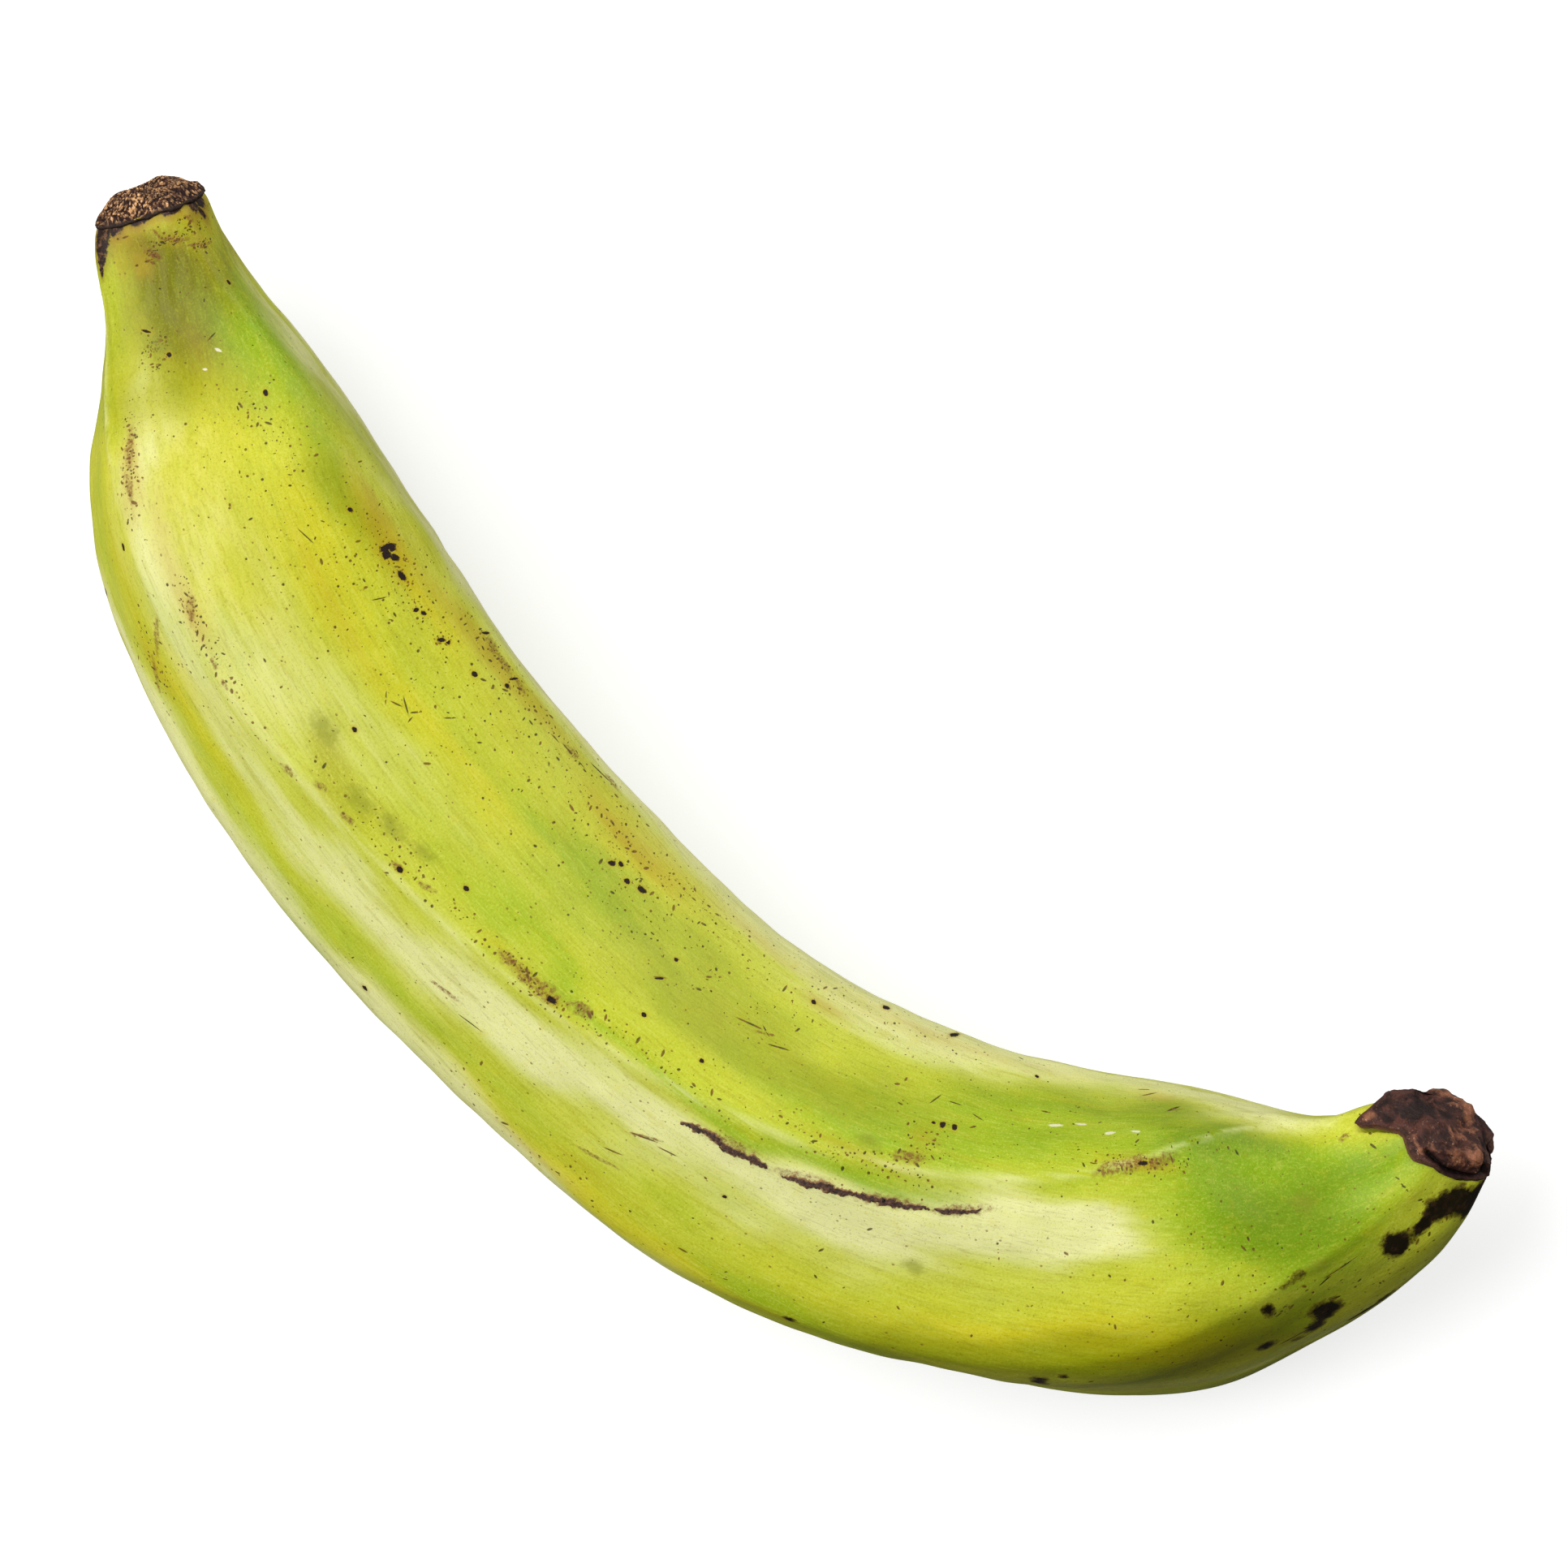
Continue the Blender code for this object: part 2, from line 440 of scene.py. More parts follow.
OLIVE = (
    (3, 0, 6, 400, 0.5),
    (16, -20, 9, 24, 0.4),
    (9, 10, 8, 50, 0.4),
    (19, 0, 5, 14, 0.35),
    (24, -85, 20, 18, 0.35),
    (86, -14, 10, 7, 0.42),
    (76, -12, 6, 6, 0.3),
    (190, -74, 26, 14, 0.45),
    (222, -66, 30, 18, 0.15),
    (238, -50, 16, 14, 0.1),
    (52, 58, 20, 8, 0.4),
    (170, 60, 12, 5, 0.2),
)

DEEP_AND_SHADED = (
    # where the peel is darker and fuller in colour: partly its own deeper green, partly painted shade on the
    # sides turned from the light
    (22, -26, 11, 50, 1),
    (8, 8, 8, 48, 1.05),
    (42, 40, 12, 16, 0.6),
    (57, 44, 12, 10, 0.45),
    (192, -60, 20, 13, 1),
    (206, -47, 10, 11, 0.75),
    (218, -38, 14, 13, 0.8),
    (163, -70, 14, 12, 0.45),
    (240, 6, 13, 28, 0.85),
    (220, 52, 22, 14, 0.72),
    (194, 46, 18, 12, 0.35),
    (163, 28, 22, 13, 0.6),
    (136, 24, 16, 14, 0.35),
    (112, 32, 18, 10, 0.25),
    (205, 76, 14, 8, 0.35),
)

TAN = (
    (0, 0, 2.2, 900, 0.95),
    (2.6, 50, 3.6, 22, 0.75),
    (4, -34, 5, 22, 0.55),
    (4.6, 10, 1.2, 16, 0.5),
    (6.4, 38, 1.1, 16, 0.45),
    (2, -86, 4, 9, 0.9),
    (6.8, -22, 2.2, 12, 0.5),
    (20, 0, 5, 8, 0.35),
    (58, 44, 11, 7, 0.6),
    (50, 50, 8, 6, 0.4),
    (66, 54, 9, 6, 0.6),
    (80, 61, 11, 6, 0.85),
    (93, 66, 10, 5, 0.5),
    (112, 50, 9, 5, 0.75),
    (104, 58, 8, 4, 0.45),
    (122, 56, 8, 6, 0.45),
    (154, 53, 5, 4, 0.7),
    (132, 66, 22, 7, 0.4),
    (163, 66, 16, 8, 0.4),
    (186, 72, 18, 7, 0.35),
    (212, 66, 6, 5, 0.45),
    (251, 60, 4, 40, 0.35),
    (34, -46, 7, 7, 0.8),
    (46, -32, 13, 8, 0.45),
    (57, -60, 5, 6, 0.6),
    (54, -32, 4, 4, 0.5),
    (118, -11, 9, 3, 0.6),
    (140, -53, 7, 4, 0.5),
    (133, -70, 9, 5, 0.45),
    (168, 7, 10, 3, 0.6),
    (176, 20, 3, 8, 0.55),
    (210, 29, 8, 4, 0.8),
    (60, 14, 16, 6, 0.35),
    (166, -73, 5, 5, 0.5),
)

BLOTCH = (
    # near-black marks round the blossom end
    (243.9, -37, 1.5, 8, 1.35),
    (247.6, -40, 1.3, 5, 1.25),
    (250.5, -42, 1.7, 10, 1.3),
    (252.5, -54, 1.6, 12, 1.25),
    (252.6, -76, 2, 14, 1.2),
    (254.6, -88, 1.8, 12, 0.95),
    (232.8, -51, 1.7, 6, 1.15),
    (230.5, -60, 1.2, 4, 0.9),
    (228, -64, 1.4, 2.5, 0.6),
    (225, -57, 1.3, 3, 0.8),
    (227, -36, 0.8, 4, 0.85),
    (232, -24, 1.2, 3.5, 0.5),
    (230, -26, 0.8, 2.5, 0.5),
    (236, -82, 3.4, 5, 0.75),
    (198.8, -69, 1.1, 5, 0.9),
    (201.5, -61, 0.7, 2.4, 0.6),
    (168.5, -69, 1.4, 2.6, 0.6),
    (52, -150, 3, 7, 0.7),
    (140, 165, 3.5, 6, 0.6),
    (250, 150, 5, 40, 0.8),
)

# ------------------------------------------------------------------ small marks on the peel

# mm from the cut, degrees, half length mm, half width mm, turn from the fruit's length in degrees
SCABS = (
    (58.5, 43, 1, 0.7, 10),
    (57.8, 45.6, 1.3, 0.8, 75),
    (59.6, 46.2, 0.7, 0.5, 30),
    (62.6, 44.5, 0.9, 0.5, 10),
    (61.6, 42.8, 0.35, 0.25, 0),
    (49.5, 38.6, 0.45, 0.35, 20),
    (68.2, 41.2, 0.45, 0.3, 60),
    (69.2, 43.6, 0.5, 0.3, 20),
    (74, 43.4, 0.55, 0.35, 60),
    (74.8, 45.2, 0.4, 0.3, 0),
    (81, 46.6, 0.5, 0.4, 0),
    (85.2, 57.6, 0.4, 0.35, 0),
    (85, 64, 0.9, 0.18, 70),
    (76.8, 67.5, 0.7, 0.2, 60),
    (114.6, 38.6, 0.6, 0.42, 40),
    (115.6, 41.4, 0.45, 0.35, 0),
    (118, 38.2, 0.5, 0.4, 0),
    (120.4, 40.4, 0.65, 0.55, 20),
    (151.8, 51.8, 0.42, 0.36, 0),
    (163, 73, 0.75, 0.5, 30),
    (175.6, 79, 1.2, 0.5, 60),
    (42.8, -54.6, 0.4, 0.32, 0),
    (47, -83, 0.5, 0.5, 0),
    (77.6, -1.8, 0.4, 0.36, 0),
    (103.6, -6, 0.4, 0.34, 0),
    (96, -19, 0.5, 0.36, 20),
    (132.8, 7, 0.38, 0.32, 0),
    (143, 7.4, 0.34, 0.3, 0),
    (131, 20, 0.7, 0.16, 45),
    (131, 30, 0.34, 0.3, 0),
    (28.2, 28, 0.42, 0.32, 0),
    (12.8, 45, 0.4, 0.3, 20),
    (15.6, -31, 0.75, 0.18, 60),
    (19.6, -17.5, 0.4, 0.34, 0),
    (155.4, -28, 0.3, 0.25, 0),
    (104.5, -68.5, 0.45, 0.4, 0),
    (178.2, 28.4, 0.7, 0.4, 80),
    (180, 29, 0.6, 0.4, 80),
    (176.8, 28, 0.3, 0.26, 0),
    (190.6, 64.5, 0.36, 0.3, 0),
    (210.4, 29.2, 1, 0.28, 8),
    (122.4, -10.8, 0.7, 0.4, 8),
    (95, 140, 1, 0.7, 20),
    (130, -130, 1.2, 0.6, 60),
    (190, 170, 1.1, 0.7, 0),
)

STREAKS = (
    # the dark dried streak that runs down from the cut
    (0.6, -66, 1.6, 1.5, 0),
    (2.4, -68, 1.8, 1.15, -2),
    (4.2, -70, 1.6, 0.75, -4),
    (5.6, -73, 1.2, 0.4, -6),
    (0.4, -44, 1.2, 1.1, 0),
    (0.6, 48, 1.4, 1.2, 0),
    (2.4, 55, 1.3, 0.6, 20),
    (0.4, 62, 1.6, 1.4, 0),
    (0.2, 20, 0.9, 1.6, 0),
    (0.2, -15, 0.8, 1.6, 0),
    (1, 120, 1.4, 1.4, 0),
    (1.2, -140, 1.6, 1.4, 0),
    (0.8, 175, 1.2, 1.8, 0),
)

SCUFFS = (
    (114.5, -12, 1.6, 0.75, 8),
    (117.5, -11.5, 1.9, 0.8, 5),
    (121, -10.5, 2.2, 1.1, 8),
    (126, -6, 1.8, 0.8, 20),
    (79, 66, 1.8, 0.7, 0),
    (82.5, 65.5, 1.5, 0.6, 0),
    (86.5, 65, 1.2, 0.6, 0),
    (99, 63, 1.4, 0.6, 0),
    (106, 74, 1.3, 0.5, 0),
    (77, -29, 1, 0.5, 20),
    (81, -23, 0.8, 0.4, 20),
    (86.5, -22, 1, 0.4, 10),
    (95.5, -19, 1, 0.45, 20),
    (100, -16, 1.2, 0.4, 20),
    (31, -46, 2.6, 0.6, -6),
    (36, -46.5, 1.8, 0.5, 8),
    (53, -31.5, 1.8, 0.55, -25),
    (54, -52, 2.8, 0.45, -50),
    (58, -62, 2.4, 0.4, -40),
    (60.5, -32, 0.7, 0.35, 0),
    (63.5, -32, 0.7, 0.3, 0),
    (148, 29, 1.5, 0.22, 25),
    (215, 59, 1.6, 0.25, 20),
    (2.8, -1, 1, 0.18, 20),
    (4.1, 7, 1, 0.3, 62),
    (4.8, 18, 1.4, 0.32, 80),
    (6.2, 31, 1.4, 0.2, 76),
    (6.8, 43, 1.4, 0.22, 95),
    (5.6, -10, 1.4, 0.45, 40),
    (2.4, 37, 0.7, 0.45, 30),
    (2.4, 57, 1.4, 0.55, 40),
    (246, 50, 0.9, 0.4, 20),
    (112, -36, 2.4, 0.35, 12),
    (143, -26, 2.2, 0.2, 28),
    (140, -45, 2.6, 0.28, 14),
    (204.5, 25.5, 2.2, 0.9, 20),
    (208.5, 28.5, 2.2, 1, 25),
    (213.5, 31.5, 2.6, 0.9, 20),
    (175, 12, 2.2, 0.9, 10),
    (152, -11, 3.6, 0.8, 12),
    (163, -8.5, 3.4, 0.8, 14),
    (174, -4.5, 4, 0.8, 10),
    (184, 0, 3.4, 0.7, 16),
)

BRUISES = (
    (75, -10, 2.4, 1.4, 0),
    (85.5, -16, 2.6, 1.4, 10),
    (91, -12, 2.2, 1.3, 0),
    (96, -9, 2, 1, 10),
    (18, -24, 2.2, 1.6, 40),
    (180.5, -24, 1.4, 1.1, 0),
    (235, -23, 1.6, 1.4, 0),
    (169, 12, 1.8, 1.2, 0),
    (236, 12, 2, 1.5, 30),
)

# Where stray specks crowd together: mm from the cut, degrees, half length mm, half width deg, how many.
SPECK_CROWDS = (
    (58.6, 44.5, 3.6, 7, 60),
    (64, 46, 5, 7, 40),
    (69, 42.5, 1.6, 3, 22),
    (74.2, 44, 1.5, 4, 34),
    (78, 62, 6, 5, 60),
    (85, 62, 4, 5, 50),
    (92, 64, 8, 5, 50),
    (98, 62.5, 4, 2, 24),
    (116, 40, 5, 5, 24),
    (112, 50, 10, 5, 60),
    (122, 56, 8, 8, 60),
    (31, 18, 2.6, 7, 40),
    (36, 24, 4, 8, 30),
    (60, 24, 12, 12, 70),
    (70, 38, 30, 16, 150),
    (95, 56, 26, 12, 120),
    (125, 36, 30, 16, 150),
    (155, 58, 30, 14, 110),
    (60, 6, 34, 20, 90),
    (88, -18, 9, 4, 40),
    (106, -14, 12, 2.4, 50),
    (118, -11, 5, 2.4, 120),
    (127, -7, 4, 3, 40),
    (140, -2, 12, 3, 60),
    (166, 5, 8, 3, 80),
    (174, 9, 3, 4, 50),
    (177, 20, 3, 8, 40),
    (33, -46, 5, 4, 150),
    (54, -32, 4, 3, 90),
    (57, -60, 4, 7, 70),
    (62, -31, 6, 3, 40),
    (19, -26, 2, 7, 50),
    (4.4, 12, 0.6, 12, 60),
    (6.4, 40, 0.5, 9, 24),
    (5.8, -10, 1, 5, 40),
    (17.8, -26, 0.9, 5, 50),
    (3.5, 44, 2, 16, 40),
    (210, 29, 7, 3, 110),
    (215, 44, 16, 12, 50),
    (225, -20, 20, 30, 90),
    (236, -46, 10, 14, 60),
    (138, -62, 20, 12, 60),
    (130, 10, 120, 70, 240),
    (130, 180, 120, 80, 200),
)
SPECK_SEED = 17

# Hair-thin dark scratches.
DASHES = (
    (78, 15, 1, 0.13, 30),
    (79, 17, 1.3, 0.12, -20),
    (80.5, 18.5, 0.8, 0.13, 60),
    (80.8, 16, 0.7, 0.13, -70),
    (76.5, 13, 0.9, 0.1, -40),
    (50.5, 18, 1.6, 0.1, 20),
    (64, 31, 1.2, 0.1, 70),
    (84, 27, 0.9, 0.11, 55),
    (145.5, 29, 2.4, 0.16, 12),
    (151, 27.5, 1.6, 0.15, 18),
    (148, 30.5, 1, 0.12, -30),
    (99.5, 62, 2.4, 0.17, 4),
    (96, 61, 1.2, 0.14, 10),
    (104, 71.5, 2.2, 0.15, 14),
    (131, 20.5, 1, 0.14, 40),
    (215, 60, 1.5, 0.28, 35),
    (210, 67, 1.6, 0.14, 30),
    (209, 69.5, 1.2, 0.12, 10),
    (176, 37, 1.3, 0.12, 60),
    (179, 38, 1, 0.12, 0),
    (183, 36, 0.9, 0.12, -20),
    (117, -38, 1.8, 0.1, 10),
    (143, -26.5, 1.8, 0.13, 20),
    (146.5, -25.5, 1.4, 0.12, 12),
    (141, -38, 1.2, 0.12, 20),
    (19, 12, 0.8, 0.1, -60),
    (237, -30, 2.4, 0.12, 0),
    (235, -32, 1.4, 0.16, 20),
    (228, -60, 2, 0.2, 8),
)

FLECKS = (
    (195, 41, 1.1, 0.3, 10),
    (199, 44, 0.9, 0.3, 0),
    (204, 42, 1, 0.35, 15),
    (208.5, 45, 0.9, 0.3, 0),
    (21, 13, 0.5, 0.2, 50),
    (23, 2, 0.4, 0.2, 70),
)


def stray_specks():
    """Small marks scattered round the crowds, each a dot or a short dash."""
    random = np.random.default_rng(SPECK_SEED)
    specks = []
    for where, turn, long, wide, count in SPECK_CROWDS:
        distance = np.clip(random.normal(where, long * 0.7, count), 2.0, 250.0)
        degrees = (random.normal(turn, wide * 0.7, count) + 180) % 360 - 180
        width = 0.065 + 0.145 * random.random(count) ** 2.4
        length = width * (1 + 2.2 * random.random(count) ** 4)
        spin = random.uniform(-90, 90, count)
        specks += list(zip(distance, degrees, length, width, spin))
    return specks + list(DASHES)


SECTION_POINTS = 720  # points round the section on which a mark is placed


def surface_place(mark):
    """A mark's straightened position, and its long, wide and outward directions there."""
    distance, degrees, _, _, turn = mark
    share = np.array([distance / LENGTH])
    angles = np.linspace(0, 2 * math.pi, SECTION_POINTS, endpoint=False)
    across, up = (row[0] for row in sections(share, angles))
    seen = seen_degrees(share, across, up)
    i = int(np.argmin(np.abs((seen - degrees + 180) % 360 - 180)))
    j = (i + 1) % SECTION_POINTS
    tangent = Vector((0.0, across[j] - across[i - 1], up[j] - up[i - 1])).normalized()
    outward = Vector((1.0, 0.0, 0.0)).cross(tangent)
    spin = math.radians(turn)
    long_way = Vector((1.0, 0.0, 0.0)) * math.cos(spin) + tangent * math.sin(spin)
    wide_way = outward.cross(long_way)
    return Vector((distance, across[i], up[i])), long_way, wide_way, outward


# ------------------------------------------------------------------ node graphs


class Graph:
    """Builds one material's node graph around its Principled shader."""

    def __init__(self, name):
        self.material = bpy.data.materials.new(name)
        self.material.use_nodes = True
        self.tree = self.material.node_tree
        self.surface = self.tree.nodes["Principled BSDF"]

    def add(self, kind, inputs, **settings):
        made = self.tree.nodes.new(kind)
        for key, value in settings.items():
            setattr(made, key, value)
        for key, value in inputs.items():
            self.put(made.inputs[key], value)
        return made

    def put(self, socket, value):
        if isinstance(value, bpy.types.NodeSocket):
            self.tree.links.new(value, socket)
        else:
            socket.default_value = value

    def value(self, name):
        return self.add("ShaderNodeAttribute", {}, attribute_name=name).outputs["Fac"]

    def vector(self, name):
        return self.add("ShaderNodeAttribute", {}, attribute_name=name).outputs["Vector"]

    def maths(self, operation, first, second=0.0, clamp=False):
        inputs = {0: first, 1: second}
        return self.add("ShaderNodeMath", inputs, operation=operation, use_clamp=clamp).outputs[0]

    def product(self, *factors):
        result = factors[0]
        for factor in factors[1:]:
            result = self.maths("MULTIPLY", result, factor)
        return result

    def total(self, *terms):
        result = terms[0]
        for term in terms[1:]:
            result = self.maths("ADD", result, term)
        return result

    def swing(self, value, gain):
        """How far the value swings to either side of a half, times the gain."""
        return self.product(self.maths("SUBTRACT", value, 0.5), gain)

    def stretched(self, vector, scale):
        return self.add("ShaderNodeVectorMath", {0: vector, 1: scale}, operation="MULTIPLY").outputs[0]

    def noise(self, vector, scale, detail=2.0, roughness=0.5, distortion=0.0):
        shape = {"Scale": scale, "Detail": detail, "Roughness": roughness, "Distortion": distortion}
        return self.add("ShaderNodeTexNoise", {"Vector": vector, **shape}).outputs["Fac"]

    def cells(self, vector, scale, output="Distance", randomness=1.0):
        inputs = {"Vector": vector, "Scale": scale, "Randomness": randomness}
        return self.add("ShaderNodeTexVoronoi", inputs).outputs[output]

    def step(self, value, low, high, start=0.0, end=1.0):
        inputs = {"Value": value, "From Min": low, "From Max": high, "To Min": start, "To Max": end}
        return self.add("ShaderNodeMapRange", inputs, interpolation_type="SMOOTHSTEP").outputs["Result"]

    def blend(self, amount, under, over, kind="MIX"):
        inputs = {0: amount, 6: under, 7: over}
        return self.add("ShaderNodeMix", inputs, data_type="RGBA", blend_type=kind).outputs[2]

    def bump(self, height, depth, normal=None):
        inputs = {"Height": height, "Distance": depth, "Strength": 1.0}
        if normal is not None:
            inputs["Normal"] = normal
        return self.add("ShaderNodeBump", inputs).outputs["Normal"]

    def nearest(self, name):
        """How far the point is from the nearest mark of one kind, as a share of the mark's half size."""
        return self.add("ShaderNodeVectorMath", {0: self.vector(name)}, operation="LENGTH").outputs["Value"]

    def cover(self, skin, roughness, normal, gloss=None):
        """Puts the finished patterns on the surface."""
        self.put(self.surface.inputs["Base Color"], skin)
        self.put(self.surface.inputs["Roughness"], roughness)
        self.put(self.surface.inputs["Normal"], normal)
        if gloss is not None:
            self.surface.inputs["Specular IOR Level"].default_value = gloss


def colour(red, green, blue):
    """A linear colour from its 0 to 255 screen values."""
    shares = (value / 255 for value in (red, green, blue))
    return tuple(c / 12.92 if c <= 0.04045 else ((c + 0.055) / 1.055) ** 2.4 for c in shares) + (1.0,)


PEEL_BASE = colour(191, 198, 50)
PEEL_LIGHT = colour(214, 217, 96)
PEEL_YELLOW = colour(209, 197, 26)
PEEL_GREEN = colour(134, 172, 12)
# The pale colour of the painted highlights and painted reflections.
PEEL_SHEEN = colour(229, 229, 160)
PEEL_OLIVE = colour(142, 128, 12)
PEEL_TAN = colour(176, 146, 14)
# How far the darker zones are painted down, for the peel's deeper colour and for painted shade.
DEEP_SHADE_TINT = (0.56, 0.60, 0.22, 1.0)
SPECK_DARK = colour(36, 20, 8)
SPECK_RUST = colour(110, 64, 14)
SCAB_DARK = colour(38, 24, 18)
STREAK_DARK = colour(38, 22, 15)
STREAK_BROWN = colour(112, 78, 54)
SCUFF_BROWN = colour(124, 80, 40)
BRUISE_OLIVE = colour(128, 132, 28)
BLOTCH_DARK = colour(20, 13, 9)
BLOTCH_BROWN = colour(66, 42, 28)
BLOTCH_HALO = colour(98, 78, 16)
FLECK_PALE = colour(228, 222, 196)

# The broad colour zones, from the lowest layer up; the pale layer is painted highlight and painted
# reflection.
ZONE_COLOURS = {"yellow": PEEL_YELLOW, "green": PEEL_GREEN, "painted_sheen": PEEL_SHEEN, "olive": PEEL_OLIVE}


def peel_material():
    g = Graph("peel_skin")
    flow = g.vector("flow")
    patchy = g.noise(g.stretched(flow, (0.030, 0.075, 0.075)), 1.0, 3.0, 0.55)
    streaks = g.noise(g.stretched(flow, (0.055, 0.62, 0.62)), 1.0, 3.0, 0.6, 0.3)
    fibres = g.noise(g.stretched(flow, (0.30, 2.6, 2.6)), 1.0, 2.0, 0.6, 0.2)
    grain = g.noise(flow, 3.4, 2.0, 0.6)
    mottle = g.noise(flow, 0.33, 3.0, 0.6)
    ragged = g.noise(flow, 1.4, 3.0, 0.65)

    def zone(name, gain=0.75):
        wobble = g.swing(streaks, gain)
        return g.step(g.total(g.value(name), g.product(wobble, g.step(g.value(name), 0.0, 0.4))), 0.0, 1.0)

    skin = PEEL_BASE
    for name, tone in ZONE_COLOURS.items():
        skin = g.blend(zone(name), skin, tone)
    tints = (
        # pattern, where it starts to show, where it is full, strength, colour
        (patchy, 0.52, 0.75, 0.40, PEEL_GREEN),
        (streaks, 0.50, 0.85, 0.30, PEEL_LIGHT),
        (streaks, 0.50, 0.20, 0.22, PEEL_OLIVE),
        (mottle, 0.55, 0.80, 0.30, PEEL_YELLOW),
        (fibres, 0.52, 0.76, 0.36, PEEL_LIGHT),
        (fibres, 0.48, 0.25, 0.26, PEEL_OLIVE),
        (grain, 0.52, 0.70, 0.34, PEEL_LIGHT),
        (grain, 0.46, 0.28, 0.32, PEEL_OLIVE),
    )
    for pattern, none, full, strength, tone in tints:
        skin = g.blend(g.step(pattern, none, full, 0.0, strength), skin, tone)

    # Partly the peel's own deeper colour, partly painted shade on the sides turned from the light.
    deepened_and_shaded = g.blend(1.0, skin, DEEP_SHADE_TINT, "MULTIPLY")
    skin = g.blend(zone("deep_and_shaded", 0.25), skin, deepened_and_shaded)
    skin = g.blend(g.product(zone("tan", 1.1), 0.62), skin, PEEL_TAN)

    # Painted highlight: a pale line along the ridge crests, in the painted highlight colour.
    crest_highlight = g.product(g.value("crest_highlight"), g.step(streaks, 0.35, 0.6))
    skin = g.blend(g.product(crest_highlight, 0.55), skin, PEEL_SHEEN)
    dust_flow = g.stretched(flow, (1.0, 1.3, 1.3))
    dust_pick = g.add("ShaderNodeSeparateColor", {"Color": g.cells(dust_flow, 0.95, "Color")})
    dust_size = g.step(dust_pick.outputs[1], 0.0, 1.0, 0.06, 0.17)
    dust = g.step(g.maths("SUBTRACT", g.cells(dust_flow, 0.95), dust_size), 0.05, 0.0)
    crowding = g.product(g.value("speckled"), 0.35)
    chance = g.step(g.total(dust_pick.outputs[0], crowding), 0.80, 0.90)
    dust = g.product(dust, chance)
    skin = g.blend(g.product(dust, 0.62), skin, SPECK_RUST)

    def marks(name, low, high, rough):
        edge = g.swing(ragged, rough)
        return g.step(g.total(g.nearest(name), edge), high, low)

    tint = g.noise(flow, 0.9, 1.0)
    specks = marks("speck", 0.75, 1.25, 0.7)
    speck_colour = g.blend(g.step(tint, 0.40, 0.60), SPECK_DARK, SPECK_RUST)
    skin = g.blend(g.product(specks, 0.85), skin, speck_colour)
    cloudy = g.swing(g.noise(flow, 0.5, 4.0, 0.65), 2.6)
    bruised = g.step(g.total(g.nearest("bruise"), cloudy), 1.6, 0.1)
    scuffed = marks("scuff", 0.6, 1.5, 2.2)
    broken = g.step(g.noise(flow, 1.7, 3.0, 0.7), 0.40, 0.62, 0.25, 1.0)
    scuffed = g.product(scuffed, broken)
    halo = marks("scab", 0.8, 2.4, 1.0)
    scabbed = marks("scab", 0.80, 1.15, 1.5)
    streaked = marks("streak", 0.75, 1.15, 1.1)
    singed = marks("streak", 0.9, 2.3, 1.0)
    flecked = marks("fleck", 0.7, 1.2, 1.2)
    skin = g.blend(g.product(bruised, 0.55), skin, BRUISE_OLIVE)
    skin = g.blend(g.product(halo, 0.45), skin, PEEL_TAN)
    skin = g.blend(g.product(scuffed, 0.85), skin, SCUFF_BROWN)
    skin = g.blend(g.product(flecked, 0.8), skin, FLECK_PALE)
    blotched = g.total(g.value("blotch"), g.swing(g.noise(flow, 0.55, 4.0, 0.7), 1.5))
    blotched = g.product(blotched, g.step(g.value("blotch"), 0.02, 0.25))
    stained = g.step(blotched, 0.30, 0.62)
    skin = g.blend(g.product(g.step(blotched, 0.10, 0.42), 0.75), skin, BLOTCH_HALO)
    browned = g.step(g.noise(flow, 0.8, 3.0, 0.6), 0.48, 0.70, 0.0, 0.8)
    blot_colour = g.blend(browned, BLOTCH_DARK, BLOTCH_BROWN)
    skin = g.blend(g.product(stained, 0.97), skin, blot_colour)
    skin = g.blend(g.product(singed, 0.45), skin, SCUFF_BROWN)
    skin = g.blend(scabbed, skin, SCAB_DARK)
    dried = g.blend(g.step(ragged, 0.50, 0.68), STREAK_DARK, STREAK_BROWN)
    skin = g.blend(streaked, skin, dried)

    dull = g.total(g.step(grain, 0.3, 0.7, 0.36, 0.46), g.product(scuffed, 0.22), g.product(scabbed, 0.25))
    # The surface is a little rougher where highlight is painted.
    dull = g.maths("ADD", dull, g.product(g.value("painted_sheen"), 0.10), clamp=True)
    coarse = g.total(g.product(streaks, 0.25), g.product(fibres, 0.25), g.product(mottle, 0.6))
    marked = (g.product(specks, -0.5), g.product(scabbed, 1.6), g.product(scuffed, 0.4))
    fine = g.total(g.product(grain, 0.5), *marked)
    g.cover(skin, dull, g.bump(fine, 0.00007, g.bump(coarse, 0.00016)), 0.18)
    return g.material


# ------------------------------------------------------------------ meshes


def make_object(name, points, faces, material, values):
    """A smooth mesh object from points in metres and faces, with its per-point values as attributes."""
    data = bpy.data.meshes.new(name)
    data.from_pydata(points.tolist(), [], faces)
    for key, numbers in values.items():
        kind = "FLOAT_VECTOR" if numbers.ndim == 2 else "FLOAT"
        layer = data.attributes.new(key, kind, "POINT")
        layer.data.foreach_set("vector" if numbers.ndim == 2 else "value", numbers.astype(np.float32).ravel())
    data.materials.append(material)
    data.shade_smooth()
    data.update()
    made = bpy.data.objects.new(name, data)
    bpy.context.scene.collection.objects.link(made)
    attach(made, "root")
    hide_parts(NODE)
    return made


